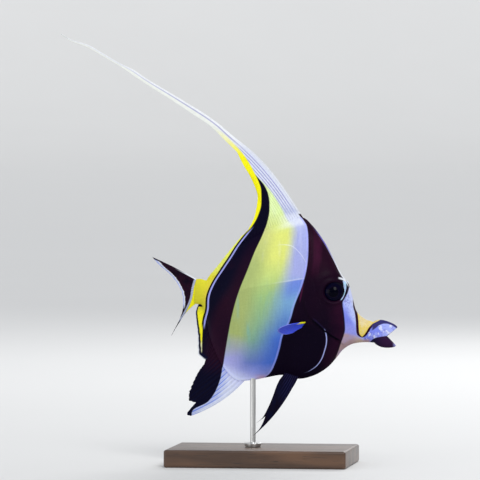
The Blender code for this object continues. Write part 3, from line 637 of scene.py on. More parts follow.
@dataclass(frozen=True)
class SkinFinish:
    """The satin skin: bands, face markings with some painted highlights and shade, tiny scales and fine
    creases.
    """

    markings: Markings = Markings()
    roughness: float = 0.42
    gloss: float = 0.03
    scale_size: float = 0.0011
    relief: float = 0.00012

    def material(self) -> bpy.types.Material:
        """Build the skin's material.

        Returns:
            The material.
        """
        coat = Coat("skin", self.roughness, self.gloss, self.markings)
        marks, tone, along, up = coat.marks, coat.tone, coat.along, coat.up
        ridge = abs(coat.uv("girth")[0] * PLAN_UNIT)
        cloud = coat.noise(90.0, 4.0)
        streak = coat.noise(420.0, 2.0, (1.0, 0.5, 0.10))
        band, face = coat.ahead(marks.front_band_rear), coat.ahead(marks.front_band_front)
        coat.bands()
        # painted light: the lower rear rim of the body above the anal fin is painted brighter, most at its
        # very edge, to offset the shade on its downward-facing curve
        below = ridge.under(2.0, 8.0) * up.under(-30.0, -8.0) * along.under(38.0, 52.0)
        under = ridge.under(1.2, 3.2) * below
        coat.colour = coat.shade(coat.colour, 1.0 + below * 0.42 + under * 0.45)
        coat.lay(tone.line, (band + 0.6).near(0.95) * (0.36 + up.over(2.0, 16.0) * 0.32))
        coat.lay(self.front_band(coat, band, face, cloud, streak), band.over(-0.35, 0.35))
        coat.lay(self.face_patch(coat, face, cloud), face.over(-0.3, 0.3))
        coat.lay(tone.black, face.near(0.6) * 0.85)
        self.muzzle(coat, cloud)
        slit = self.lines(coat, ridge, band)
        scales = coat.cells(1.0 / self.scale_size)
        fine = coat.noise(2600.0, 2.0)
        on_face = face.over(-2.0, 2.0)
        ripple = (up * 2.5 - along * 0.45 + cloud * 5.0).sine() * (1.0 - on_face)
        height = scales * (0.9 - on_face * 0.6) + fine * 0.35 + streak * 0.9 + ripple * 0.12 - slit * 2.0
        coat.bump(height, 0.30, self.relief)
        rough = 0.34 + cloud * 0.14 + scales * 0.10
        return coat.finish(coat.shade(coat.colour, 0.95 + scales * 0.09 + ripple * 0.008), rough)

    def front_band(self, coat: Coat, band: Value, face: Value, cloud: Value, streak: Value) -> Value:
        """The dark band over head and chest: wine red above, nearly black below, with a painted reddish
        highlight in an upright streak on the upper head.

        Args:
            coat: the skin's material.
            band: millimetres ahead of the band's rear border.
            face: millimetres ahead of its front border.
            cloud: soft uneven noise.
            streak: noise drawn out upright.

        Returns:
            The colour.
        """
        tone, up = coat.tone, coat.up
        warm = (up.over(-12.0, 26.0) * 0.80).most(up.over(-34.0, -8.0) * 0.30) + (cloud - 0.5) * 0.5
        colour = coat.mix(tone.black, tone.maroon, warm.least(1.0).most(0.05))
        # painted highlight: an upright reddish sheen streak on the upper head, laid on in wine red
        red = (band - 6.4 - (streak - 0.5) * 2.0).near(3.8) * up.within(8.0, 26.0, 30.0, 50.0)
        colour = coat.mix(colour, tone.wine, red * (0.10 + streak * 0.45))
        flush = face.over(-13.0, -1.5) * up.under(-10.0, 4.0)
        colour = coat.mix(colour, tone.wine, flush * (0.02 + cloud * 0.30))
        arc = (band - 2.2 + (up + 4.0) * 0.22).near(0.8) * (up - 1.0).near(9.0)
        return coat.mix(colour, tone.wine, arc * 0.55)

    def face_patch(self, coat: Coat, face: Value, cloud: Value) -> Value:
        """The pale patch before the eye, lilac-white above, violet-blue below and tan at the throat.

        Args:
            coat: the skin's material.
            face: millimetres ahead of the patch's rear border.
            cloud: soft uneven noise.

        Returns:
            The colour.
        """
        tone, along, up = coat.tone, coat.along, coat.up
        low = (-up - face * 2.2 + (cloud - 0.5) * 16.0).over(0.0, 14.0)
        pale = coat.mix(tone.ice, tone.sky, low * 0.9)
        # lilac on the lowest part of the patch: a violet tint, and painted light that offsets the shade on
        # this downward-facing part
        pale = coat.mix(pale, tone.lilac, up.under(-26.0, -18.0) * 0.55)
        freckles = coat.noise(800.0, 2.0).over(0.52, 0.66)
        pale = coat.mix(pale, tone.violet, freckles * (0.22 + up.over(-18.0, -6.0) * 0.30))
        pale = coat.mix(pale, tone.bright, (along + up * 0.32).over(103.4, 104.8) * 0.35)
        warm = coat.mix(tone.tan, tone.lilac, cloud.over(0.42, 0.62) * 0.35)
        warm = coat.mix(warm, tone.cream, along.over(106.0, 112.0) * 0.30)
        return coat.mix(pale, warm, coat.above(coat.marks.throat_top).under(-2.0, 1.0))

    def muzzle(self, coat: Coat, cloud: Value) -> None:
        """Paint the saddle in its dark outline, the pale upper lip with painted glints, and the dark lower
        jaw with a painted highlight at its tip.

        Args:
            coat: the material.
            cloud: soft uneven noise.
        """
        marks, tone, along, up = coat.marks, coat.tone, coat.along, coat.up
        front = -coat.ahead(marks.saddle_front)
        inside = coat.ahead(marks.saddle_rear).least(front)
        on_snout = along.over(104.0, 106.0)
        spots = cloud.over(0.50, 0.60)
        lip = coat.mix(tone.ice, tone.sky, spots * 0.45 + 0.5)
        lip = coat.mix(lip, tone.violet, coat.noise(620.0, 2.0).over(0.55, 0.63) * 0.55)
        # white flecks on the lip: pale mottling with painted glints
        lip = coat.mix(lip, tone.bright, coat.noise(380.0, 2.0).over(0.53, 0.63) * 0.6)
        lip = coat.mix(lip, tone.bright, along.over(125.0, 132.0) * (0.05 + spots * 0.25))
        lip = coat.mix(lip, tone.tan, up.under(-33.2, -31.0) * along.under(117.5, 121.0))
        coat.lay(lip, front.under(-1.5, -0.9) * along.over(113.6, 115.4))
        outline = inside.over(-2.2, -1.6) * on_snout * along.under(122.0, 127.0)
        coat.lay(coat.mix(tone.black, tone.wine, 0.25), outline)
        stipple = coat.noise(900.0, 2.0)
        gold = coat.mix(tone.cream, tone.gold, (cloud + stipple * 0.5).over(0.72, 0.92) * 0.8)
        gold = coat.mix(gold, tone.gold, inside.under(0.4, 1.3) * 0.7)
        gold = coat.mix(gold, tone.tan, stipple.over(0.56, 0.66) * 0.35)
        coat.lay(gold, inside.over(-0.3, 0.2) * on_snout)
        rim = coat.above(marks.lip_rim).over(-0.3, 0.3) * along.over(119.5, 121.5)
        coat.lay(coat.mix(tone.navy, tone.violet, 0.25), rim * inside.under(-0.3, 0.2))
        jaw = coat.above(marks.jaw_top)
        dark = coat.mix(tone.black, tone.wine, along.over(121.0, 130.0) * 0.26)
        coat.lay(coat.mix(dark, tone.violet, 0.05), jaw.under(-0.3, 0.3) * along.over(117.5, 119.5))
        # painted highlight: pale lilac on the lower jaw's tip
        coat.lay(tone.lilac, along.over(134.2, 136.4) * jaw.under(-3.2, -1.6) * 0.7)

    def lines(self, coat: Coat, ridge: Value, band: Value) -> Value:
        """Paint the forehead's pale rim, the brow, the eye's crescent, the chest line, and the gill slit in
        painted shade with a faint painted sheen above it.

        Args:
            coat: the skin's material.
            ridge: millimetres from the fish's middle plane.
            band: millimetres ahead of the front band's rear border.

        Returns:
            The mask of the slit.
        """
        marks, tone, along, up = coat.marks, coat.tone, coat.along, coat.up
        rim = ridge.under(1.6, 2.3) * up.over(6.0, 9.0) * band.over(2.0, 9.0) * up.under(34.0, 48.0)
        coat.lay(coat.mix(tone.violet, tone.bright, up.under(14.0, 34.0)), rim * 0.9)
        brow = coat.above(marks.brow_line).near(0.85) * along.within(97.0, 98.5, 103.8, 104.8)
        coat.lay(tone.bright, brow * 0.85)
        hairs = coat.noise(900.0, 2.0, (1.0, 1.0, 0.4))
        wide = 0.62 + up.over(-4.0, 6.0) * 0.75 + (hairs - 0.5) * 0.5
        crescent = (coat.ahead(marks.crescent) / wide).near(1.0) * up.within(-5.6, -4.2, 7.2, 8.4)
        crescent = crescent * ridge.over(2.6, 3.8)
        coat.lay(coat.mix(tone.cyan, tone.ice, hairs.over(0.4, 0.6)), crescent * 0.85)
        chest = coat.ahead(marks.chest_line).near(0.52) * up.within(-55.5, -52.0, -27.0, -24.0)
        coat.lay(coat.mix(tone.line, tone.ice, 0.5), chest * 0.75)
        slit = coat.above(marks.gill_slit)
        # painted sheen: a faint violet highlight just above the gill slit
        coat.lay(tone.violet, (slit - 1.3).near(1.2) * along.within(79.0, 82.0, 86.0, 92.0) * 0.03)
        # painted shade: the gill slit's crease in near black
        slit = slit.near(0.8) * along.within(78.0, 81.0, 97.0, 100.0)
        coat.lay(tone.slit, slit)
        return slit


class FinKind(Enum):
    """Which fin's colours a fin finish lays on."""

    DORSAL = "dorsal"
    ANAL = "anal"
    TAIL = "tail"
    PELVIC = "pelvic"
    PECTORAL = "pectoral"


@dataclass(frozen=True)
class Rays:
    """Where a place is among a fin's rays: by ray number, by share outwards and between two rays."""

    phase: Value
    out: Value
    groove: Value


@dataclass(frozen=True)
class FinFinish:
    """A rayed membrane with the bands that run over it."""

    kind: FinKind
    markings: Markings = Markings()
    roughness: float = 0.45
    gloss: float = 0.03
    segments: float = 420.0
    relief: float = 0.0001

    def material(self) -> bpy.types.Material:
        """Build this fin's material.

        Returns:
            The material.
        """
        coat = Coat(f"{self.kind.value}_fin", self.roughness, self.gloss, self.markings)
        across, out = coat.uv("rays")
        phase = across * RAY_UNIT
        rays = Rays(phase, out, (phase * FULL_TURN + QUARTER_TURN).sine())
        {FinKind.DORSAL: self.dorsal, FinKind.ANAL: self.anal, FinKind.TAIL: self.tail,
         FinKind.PELVIC: self.pelvic, FinKind.PECTORAL: self.pectoral}[self.kind](coat, rays)
        grain = coat.noise(500.0)
        height = (phase * FULL_TURN).sine() * 0.3 + (out * self.segments).sine() * 0.10 + grain * 0.5
        coat.bump(height, 0.30, self.relief)
        return coat.finish(coat.shade(coat.colour, 0.90 + grain * 0.20), 0.38 + grain * 0.2)

    def dorsal(self, coat: Coat, rays: Rays) -> None:
        """White in front with violet lines between the spines, then the black and yellow bands.

        Args:
            coat: the material.
            rays: where a place is among the rays.
        """
        marks, tone, up, phase = coat.marks, coat.tone, coat.up, rays.phase
        coat.bands()
        past = up.over(92.0, 106.0)
        white = coat.ahead(marks.white_border).over(-0.2, 1.0)
        white = white * coat.ahead(marks.rear_band_front).over(0.0, 0.5)
        lines = rays.groove.over(0.35, 0.95) * phase.within(1.3, 1.8, 5.6, 6.6)
        lines = lines * up.over(48.0, 64.0) * white * (1.0 - past)
        coat.lay(tone.bright, white * up.over(54.0, 62.0) * 0.45)
        streamer = coat.mix(tone.ivory, tone.bright, phase.under(1.4, 2.4) * 0.6)
        ahead_of_yellow = coat.ahead(marks.rear_band_rear).over(-0.6, 0.6)
        coat.lay(streamer, past * ahead_of_yellow.most(up.over(106.0, 114.0)))
        stripe = (phase - 1.8).near(0.62) * past * (1.0 - up.over(126.0, 168.0) * 0.7)
        coat.lay(tone.violet, (lines * 0.78).most(stripe * 0.55))
        coat.lay(tone.pearl, phase.under(0.5, 1.1) * white * (1.0 - past) * 0.6)
        corner = coat.ahead(marks.front_band_rear).over(-0.3, 0.3)
        coat.lay(tone.maroon, corner * up.under(52.5, 53.3))

    def anal(self, coat: Coat, rays: Rays) -> None:
        """White in front, then the black lobe, and the yellow strip with its dark edge.

        Args:
            coat: the material.
            rays: where a place is among the rays.
        """
        tone, up, out = coat.tone, coat.up, rays.out
        coat.bands()
        ahead = coat.ahead(coat.marks.rear_band_front)
        dark = ahead.under(-0.3, 0.3)
        light = 1.0 - dark
        fine = (rays.phase * (2 * FULL_TURN) + QUARTER_TURN).sine()
        lines = rays.groove.over(0.30, 0.95).most(fine.over(0.5, 1.0) * 0.35) * light
        near = (-ahead + (coat.noise(160.0) - 0.5) * 3.0).over(-8.5, -0.4)
        coat.lay(tone.bright, light * 0.3)
        coat.lay(tone.blue, lines * (0.12 + near * 0.66))
        coat.lay(tone.lilac, out.under(0.0, 0.30) * light * 0.35)
        coat.lay(tone.blue, near * near * light * 0.30)
        coat.lay(tone.navy, dark * up.under(-47.5, -46.0) * rays.groove.over(0.3, 0.95) * 0.6)
        coat.lay(tone.black, up.over(-11.3, -10.7))
        strip = up.over(-47.0, -46.0)
        coat.lay(tone.navy, out.over(0.80, 0.88) * strip)
        coat.lay(tone.bright, out.over(0.94, 0.98) * strip * 0.8)

    def tail(self, coat: Coat, rays: Rays) -> None:
        """Dark, with a pale line at its base and a pale rear margin.

        Args:
            coat: the material.
            rays: where a place is among the rays.
        """
        tone, up, phase, out = coat.tone, coat.up, rays.phase, rays.out
        base = coat.ahead(coat.marks.tail_line)
        coat.lay(tone.maroon, coat.noise(160.0).over(0.3, 0.6) * 0.9)
        coat.lay(tone.navy, rays.groove.over(0.2, 0.9) * 0.25)
        coat.lay(tone.white, (base + 0.6).near(1.1) * 0.8)
        coat.lay(tone.yellow, base.over(-0.1, 0.4) * up.over(-18.5, -16.5))
        margin = out.over(0.85, 0.90) * phase.over(0.3, 0.8) * up.over(-14.0, -9.0)
        coat.lay(coat.mix(tone.ice, tone.bright, out.under(0.91, 0.95)), margin)
        coat.lay(tone.bright, phase.under(0.3, 0.75) * out.under(0.2, 0.55) * 0.85)
        coat.lay(tone.navy, up.under(-23.0, -20.0))

    def pelvic(self, coat: Coat, rays: Rays) -> None:
        """Nearly black, with a blue sheen between the rays."""
        coat.lay(coat.tone.navy, coat.noise(220.0, 3.0, (1.0, 1.0, 0.3)).over(0.35, 0.7) * 0.8)
        coat.lay(coat.tone.violet, rays.groove.over(0.5, 1.0) * rays.out.under(0.1, 0.7) * 0.10)

    def pectoral(self, coat: Coat, rays: Rays) -> None:
        """Clear blue-violet with paler rays and a yellow patch at the root.

        Args:
            coat: the material.
            rays: where a place is among the rays.
        """
        tone, out = coat.tone, rays.out
        coat.colour = coat.mix(tone.indigo, tone.sky, out.over(0.1, 0.9) * 0.25)
        coat.lay(tone.ice, rays.groove.under(-0.9, -0.1) * 0.16)
        coat.lay(tone.ice, out.over(0.92, 0.99) * 0.35)
        coat.lay(tone.yellow, out.under(0.38, 0.50) * rays.phase.under(2.4, 3.2))
        coat.lay(tone.black, out.under(0.04, 0.10) * 0.8)


@dataclass(frozen=True)
class EyeFinish:
    """A wet dark eye: a black pupil in a faint ring and a blue-black iris, in millimetres."""

    pupil: float = 3.4
    iris: float = 6.2
    hole: Colour = (0.0001, 0.0001, 0.0030)
    blue: Colour = (0.0003, 0.0004, 0.0090)
    wine: Colour = (0.0016, 0.0006, 0.0070)
    ring: Colour = (0.006, 0.003, 0.010)
    rim: Colour = (0.002, 0.0015, 0.006)

    def material(self) -> bpy.types.Material:
        """Build the eye's material.

        Returns:
            The material.
        """
        paint = Paint("eye", 0.10, coat=0.05, gloss=0.015, Coat_Roughness=0.03)
        right, up = (part * EYE_UNIT for part in paint.uv("iris"))
        reach = paint.math("SQRT", right * right + up * up)
        fibres = paint.noise(700.0, 4.0)
        iris = paint.mix(self.blue, self.wine, fibres.over(0.35, 0.65))
        colour = paint.mix(self.hole, iris, reach.over(self.pupil - 0.2, self.pupil + 0.2))
        colour = paint.mix(colour, self.ring, (reach - self.pupil - 0.3).near(0.35) * 0.4)
        colour = paint.mix(colour, self.rim, reach.over(self.iris - 0.4, self.iris))
        paint.bump(fibres, 0.05, 0.0001)
        return paint.finish(colour, 0.06 + reach.over(self.iris, self.iris + 0.8) * 0.2)


@dataclass(frozen=True)
class WalnutFinish:
    """Oiled dark walnut with long grain and pores."""

    dark: Colour = (0.030, 0.013, 0.006)
    light: Colour = (0.115, 0.055, 0.026)
    pore: Colour = (0.012, 0.006, 0.003)

    def material(self) -> bpy.types.Material:
        """Build the wood.

        Returns:
            The material.
        """
        paint = Paint("walnut", 0.38, coat=0.25, Coat_Roughness=0.2)
        figure = ((paint.noise(34.0, 3.0, (0.14, 1.0, 1.0)) * 26.0).sine() + 1.0) * 0.5
        fine = paint.noise(900.0, 3.0, (0.06, 1.0, 1.0))
        pores = paint.noise(1600.0, 2.0, (0.05, 1.0, 1.0)).over(0.62, 0.70)
        colour = paint.mix(self.dark, self.light, figure * 0.65 + fine * 0.35)
        paint.bump(fine - pores * 1.5, 0.25, 0.0001)
        return paint.finish(paint.mix(colour, self.pore, pores * 0.7), 0.32 + fine * 0.16 + pores * 0.15)


@dataclass(frozen=True)
class SteelFinish:
    """Brushed steel, its scratches round the rod."""

    colour: Colour = (0.62, 0.62, 0.61)

    def material(self) -> bpy.types.Material:
        """Build the metal.

        Returns:
            The material.
        """
        paint = Paint("steel", 0.3, Metallic=1.0)
        brushed = paint.noise(700.0, 3.0, (0.4, 0.4, 9.0))
        smear = paint.noise(45.0)
        paint.bump(brushed, 0.15, 0.00005)
        return paint.finish(paint.shade(self.colour, 0.82 + brushed * 0.25),
                            0.18 + brushed * 0.16 + smear * 0.12)


@dataclass(frozen=True)
class FloorFinish:
    """A plain pale floor."""

    colour: Colour = (0.60, 0.60, 0.595)

    def material(self) -> bpy.types.Material:
        """Build the floor's finish.

        Returns:
            The material.
        """
        paint = Paint("floor", 0.65)
        cloud = paint.noise(3.0)
        return paint.finish(paint.shade(self.colour, 0.98 + cloud * 0.04), 0.6 + cloud * 0.1)


def choose(*pieces: bpy.types.Object) -> None:
    """Select these pieces alone and make the first one active.

    Args:
        *pieces: the pieces.
    """
    bpy.ops.object.select_all(action="DESELECT")
    for piece in pieces:
        piece.select_set(True)
    bpy.context.view_layer.objects.active = pieces[0]


@contextmanager
def editing(selected: bool = True) -> Iterator[None]:
    """Edit the active piece's mesh, with all of it selected at first or none.

    Args:
        selected: whether all of it is selected, or none.

    Returns:
        A context to edit in.
    """
    bpy.ops.object.mode_set(mode="EDIT")
    bpy.ops.mesh.select_all(action="SELECT" if selected else "DESELECT")
    yield
    bpy.ops.object.mode_set(mode="OBJECT")


def add_shape(name: str, operator: Callable[..., object], **settings: object) -> bpy.types.Object:
    """Add one of Blender's basic shapes under a name and leave it active.

    Args:
        name: the object's name.
        operator: Blender's operator for the shape.
        **settings: the operator's settings.

    Returns:
        The object.
    """
    bpy.ops.object.select_all(action="DESELECT")
    operator(**settings)
    made = bpy.context.object
    made.name = name
    return made


def corners(mesh: bpy.types.Mesh) -> np.ndarray:
    """The number of the point at each of a mesh's face corners.

    Args:
        mesh: the mesh.

    Returns:
        One number for each corner.
    """
    found = np.empty(len(mesh.loops), np.int32)
    mesh.loops.foreach_get("vertex_index", found)
    return found


def set_maps(mesh: bpy.types.Mesh, maps: dict[str, np.ndarray]) -> None:
    """Replace a mesh's maps by these, each with two numbers for every point.

    Args:
        mesh: the mesh.
        maps: points by two, for each map's name.
    """
    while mesh.uv_layers:
        mesh.uv_layers.remove(mesh.uv_layers[0])
    corner = corners(mesh)
    for layer, values in maps.items():
        mesh.uv_layers.new(name=layer).data.foreach_set("uv", values[corner].astype(np.float32).ravel())


def grid_piece(name: str, points: np.ndarray, maps: dict[str, np.ndarray]) -> bpy.types.Object:
    """A sheet of quads on a grid of points.

    Args:
        name: the object's name.
        points: rows by columns by three, in millimetres on the fish.
        maps: for each named map, rows by columns by two.

    Returns:
        The object.
    """
    rows, columns = points.shape[0] - 1, points.shape[1] - 1
    made = add_shape(name, bpy.ops.mesh.primitive_grid_add, x_subdivisions=columns,
                     y_subdivisions=rows, size=1.0)
    mesh = made.data
    mesh.name = name
    start = np.empty(len(mesh.vertices) * 3, np.float32)
    mesh.vertices.foreach_get("co", start)
    start = start.reshape(-1, 3)
    column = np.rint((start[:, 0] + 0.5) * columns).astype(int)
    row = np.rint((start[:, 1] + 0.5) * rows).astype(int)
    placed = np.stack(place(points[..., 0], points[..., 1], points[..., 2]), axis=2)
    mesh.vertices.foreach_set("co", placed[row, column].astype(np.float32).ravel())
    set_maps(mesh, {layer: values[row, column] for layer, values in maps.items()})
    mesh.update()
    return made


def join(name: str, pieces: list[bpy.types.Object]) -> bpy.types.Object:
    """Join pieces whose edges meet into one mesh without doubled points.

    Args:
        name: the joined object's name.
        pieces: the pieces, of which the first one stays.

    Returns:
        The object.
    """
    choose(*pieces)
    if len(pieces) > 1:
        bpy.ops.object.join()
    pieces[0].name = name
    with editing():
        bpy.ops.mesh.remove_doubles(threshold=WELD)
    return pieces[0]


def apply_modifier(obj: bpy.types.Object, kind: str, **settings: object) -> None:
    """Add a modifier with these settings and apply it.

    Args:
        obj: the piece.
        kind: the modifier's type.
        **settings: its settings.
    """
    choose(obj)
    modifier = obj.modifiers.new(kind.lower(), kind)
    for key, wanted in settings.items():
        setattr(modifier, key, wanted)
    bpy.ops.object.modifier_apply(modifier=modifier.name)


def smooth(obj: bpy.types.Object, degrees: float) -> None:
    """Shade the piece smooth except over sharper edges than this."""
    choose(obj)
    bpy.ops.object.shade_smooth_by_angle(angle=math.radians(degrees))


def turn_outwards(obj: bpy.types.Object) -> None:
    """Turn all faces of a closed piece outwards.

    Args:
        obj: the piece.
    """
    choose(obj)
    with editing():
        bpy.ops.mesh.normals_make_consistent(inside=False)


def dress(obj: bpy.types.Object, material: bpy.types.Material, slot: str, *nodes: str) -> None:
    """Give a piece its finish and let it stand for its nodes.

    Args:
        obj: the piece.
        material: its material.
        slot: not used.
        *nodes: the nodes that it stands for.
    """
    obj.data.materials.clear()
    obj.data.materials.append(material)
    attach(obj, "root")
    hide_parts(*nodes)
    log.info("%s: %d faces for %s", obj.name, len(obj.data.polygons), ", ".join(nodes))


@dataclass
class Skin:
    """The flesh's one skin, from the tail's root over the trunk and head and into the mouth.

    Each station is a top point, a bottom point, the half width and how sharply the section narrows.
    roll is how the lips turn in: how far back each ring lies, and its width and height against the rim's.
    Heights, depths and radii are in millimetres.
    """

    stations: tuple = (
        ((-1.2, 7.8), (-2.6, -9.2), 2.6, 1.00),
        ((2.3, 8.0), (0.4, -9.4), 3.0, 1.00),
        ((6.4, 7.2), (3.3, -10.6), 3.6, 1.05),
        ((11.2, 9.5), (6.0, -20.7), 4.6, 1.15),
        ((17.7, 16.3), (10.0, -35.0), 6.2, 1.20),
        ((26.0, 26.9), (17.1, -49.6), 8.4, 1.25),
        ((35.7, 35.4), (26.8, -60.0), 10.6, 1.25),
        ((48.1, 42.2), (37.1, -60.6), 12.2, 1.25),
        ((61.1, 46.9), (48.1, -58.6), 13.0, 1.25),
        ((72.4, 50.6), (59.7, -56.8), 13.2, 1.25),
        ((79.7, 45.2), (70.7, -59.3), 13.0, 1.22),
        ((87.6, 34.7), (81.7, -56.6), 12.4, 1.20),
        ((94.1, 23.1), (90.6, -51.0), 11.6, 1.15),
        ((99.6, 12.2), (96.5, -44.5), 10.4, 1.10),
        ((104.4, 5.6), (100.6, -39.4), 8.8, 1.05),
        ((107.1, -3.1), (105.7, -35.9), 7.0, 1.00),
        ((109.9, -12.9), (111.2, -34.4), 5.6, 1.00),
        ((115.4, -18.0), (116.7, -34.0), 4.9, 1.00),
        ((121.5, -20.3), (122.2, -34.3), 4.5, 1.00),
    )
    rings_per_station: int = 10
    around: int = 300
    thickest_rise: float = 0.08
    mouth_corner: Point = (130.5, -30.0)
    upper_lip: Point = (137.9, -23.9)
    lower_lip: Point = (136.9, -36.1)
    mouth_half_width: float = 3.3
    lip_swell: Point = (2.9, 2.5)
    lip_rings: int = 36
    lip_blunt: Point = (0.8, 0.35)
    lip_widening: float = 0.10
    lip_skew: float = 0.9
    roll: tuple = ((0.3, 0.92, 0.93), (0.7, 0.80, 0.74), (1.4, 0.66, 0.58), (2.2, 0.52, 0.44),
                   (3.3, 0.36, 0.30), (4.4, 0.20, 0.16), (5.4, 0.06, 0.05))
    gill_line: tuple = ((79.0, 30.0), (77.6, 20.1), (74.8, 1.0), (76.0, -10.5), (81.0, -19.4),
                        (90.0, -26.9), (97.5, -32.5))
    cheek_line: tuple = ((80.0, 12.0), (84.6, 2.0), (86.4, -7.0), (90.0, -16.0), (94.4, -24.0),
                         (96.0, -30.0))
    socket: float = 7.2
    socket_depth: float = 2.2
    rim_height: float = 1.05
    brow_height: float = 0.5
    cover_height: float = 0.75
    groove_depth: float = 0.45
    crease_depth: float = 0.28
    horn_root: tuple = (102.4, 4.6, 5.0)
    horn_height: float = 2.9
    horn_radius: float = 2.3
    horn_taper: float = 1.15
    horn_lean: Triple = (0.30, 0.55, 0.78)
    nostrils: tuple = ((103.4, -1.2, 0.75), (104.9, -5.4, 0.6))
    nostril_rim: float = 0.35
    nostril_depth: float = 1.1
    nodes: tuple = ("head", "torso", "tail_stalk", "gill_cover_right", "gill_cover_left",
                    "upper_jaw", "lower_jaw")

    def section(self, row: Sequence[float], angles: np.ndarray) -> np.ndarray:
        """One ring round the flesh, a narrowed ellipse on the chord from top to bottom.

        Args:
            row: a station: its top, its bottom, its half width and how sharply it narrows.
            angles: where the ring's points are, in radians.

        Returns:
            Points by three, in millimetres.
        """
        top, bottom = np.array(row[0:2]), np.array(row[2:4])
        middle, reach = (top + bottom) / 2, (top - bottom) / 2
        side, rise = np.cos(angles), np.sin(angles)
        at = middle + np.outer(rise + self.thickest_rise * side * side, reach)
        across = -row[4] * np.sign(side) * np.abs(side) ** row[5]
        return np.stack((at[:, 0], across, at[:, 1]), axis=1)

    def mouth(self, angles: np.ndarray, back: float, wide: float, tall: float) -> np.ndarray:
        """A ring on the mouth's rim, or further in where wide and tall are under 1.

        Args:
            angles: where the ring's points are, in radians.
            back: how far behind the rim it lies, in millimetres.
            wide: its width against the rim's.
            tall: its height against the rim's.

        Returns:
            Points by three, in millimetres.
        """
        side, rise = np.cos(angles), np.sin(angles)
        upper = (rise >= 0)[:, None]
        tips = np.where(upper, np.array(self.upper_lip), np.array(self.lower_lip))
        corner = np.array(self.mouth_corner)
        at = corner + (tips - corner) * (np.abs(rise) * tall)[:, None]
        return np.stack((at[:, 0] - back, -self.mouth_half_width * wide * side, at[:, 1]), axis=1)

    def rings(self) -> np.ndarray:
        """All rings, as an array of rings by points by three.

        Returns:
            Rings by points by three, in millimetres.
        """
        angles = np.linspace(0.0, FULL_TURN, self.around + 1)
        rows = [(*top, *bottom, half, edge) for top, bottom, half, edge in self.stations]
        steps = (len(rows) - 1) * self.rings_per_station
        found = [self.section(between(rows, i / steps), angles) for i in range(steps + 1)]
        snout, rim = found[-1], self.mouth(angles, 0.0, 1.0, 1.0)
        swell = np.where(np.sin(angles) >= 0, self.lip_swell[0], self.lip_swell[1])
        for i in range(1, self.lip_rings + 1):
            share = math.sin(i / self.lip_rings * QUARTER_TURN)
            blunt = self.lip_blunt[0] - self.lip_blunt[1] * share
            full = math.sin(math.pi * share ** self.lip_skew) ** blunt if share < 1 else 0.0
            ring = snout * (1 - share) + rim * share
            ring[:, 2] += swell * full * np.sin(angles)
            ring[:, 1] *= 1 + self.lip_widening * full
            found.append(ring)
        found += [self.mouth(angles, *inner) for inner in self.roll]
        return np.array(found)

    def relief(self, points: np.ndarray) -> np.ndarray:
        """How far each place is raised or sunk, in millimetres.

        Args:
            points: rings by points by three.

        Returns:
            Rings by points.
        """
        along, across, up = points[..., 0], np.abs(points[..., 1]), points[..., 2]
        flank = smooth_step(across, 2.0, 5.0)
        reach = np.hypot(along - EYE_CENTRE[0], up - EYE_CENTRE[2])
        raised = self.rim_height * bell(reach - self.socket - 0.6, 1.1) * flank
        raised -= self.socket_depth * smooth_step(-reach, -self.socket + 0.4, -self.socket + 2.4) * flank
        raised += self.brow_height * bell(reach - 12.0, 2.4) * flank * smooth_step(up, -4.0, 6.0)
        ahead = signed_distance(along, up, self.gill_line)
        cover = smooth_step(ahead, -0.15, 0.5) * smooth_step(-ahead, -13.0, -1.0)
        raised += self.cover_height * cover * flank
        raised -= self.groove_depth * bell(ahead + 0.35, 0.55) * flank
        cheek = signed_distance(along, up, self.cheek_line)
        raised -= self.crease_depth * bell(cheek, 0.6) * flank
        for nostril_along, nostril_up, radius in self.nostrils:
            hole = np.hypot(along - nostril_along, up - nostril_up)
            raised += self.nostril_rim * bell(hole - radius - 0.4, 0.35) * flank
            raised -= self.nostril_depth * bell(hole, radius * 0.8) * flank
        return raised

    def horns(self, points: np.ndarray) -> None:
        """Draw the brow horns out of the skin, in place.

        Args:
            points: rings by points by three.
        """
        for side in (-1.0, 1.0):
            along, across, height = self.horn_root
            root = np.array((along, side * across, height))
            near = np.linalg.norm(points - root, axis=2) / (self.horn_radius * self.horn_taper)
            lift = self.horn_height * np.clip(1 - near, 0, 1) ** self.horn_taper
            forward, out, up = self.horn_lean
            points += lift[..., None] * np.array((forward, side * out, up))

    def build(self, finish: SkinFinish) -> None:
        """Model and dress the skin.

        Args:
            finish: its finish.
        """
        points = self.rings()
        points += surface_normals(points) * self.relief(points)[..., None]
        self.horns(points)
        sway = np.vectorize(swing)(points[..., 0])
        plan = points[..., 0] + SIDE_LEAN * (sway - np.abs(points[..., 1]))
        maps = {"plan": np.stack((plan, points[..., 2]), axis=2) / PLAN_UNIT,
                "girth": np.stack((points[..., 1], points[..., 0]), axis=2) / PLAN_UNIT}
        points[..., 1] += sway
        skin = join("fish_skin", [grid_piece("fish_skin", points, maps)])
        with editing(selected=False):
            bpy.ops.mesh.select_non_manifold()
            bpy.ops.mesh.fill_holes(sides=0)
        turn_outwards(skin)
        smooth(skin, FLESH_CREASE)
        dress(skin, finish.material(), "trunk", *self.nodes)


def signed_distance(along: np.ndarray, up: np.ndarray, line: Sequence[Point]) -> np.ndarray:
    """The distance from a smooth line in the side plane, positive on the side ahead of it.

    Args:
        along: millimetres forward of each place.
        up: millimetres up of each place.
        line: the line's points, from the highest to the lowest.

    Returns:
        Millimetres for each place.
    """
    path = [between(line, i / LINE_STEPS) for i in range(LINE_STEPS + 1)]
    best = np.full(along.shape, np.inf)
    signed = np.zeros(along.shape)
    for a, b in zip(path, path[1:]):
        run = b - a
        t = np.clip(((along - a.x) * run.x + (up - a.y) * run.y) / run.length_squared, 0, 1)
        from_x, from_y = along - (a.x + run.x * t), up - (a.y + run.y * t)
        away = np.hypot(from_x, from_y)
        closer = away < best
        side = np.sign(run.x * from_y - run.y * from_x)
        best = np.where(closer, away, best)
        signed = np.where(closer, away * side, signed)
    return signed


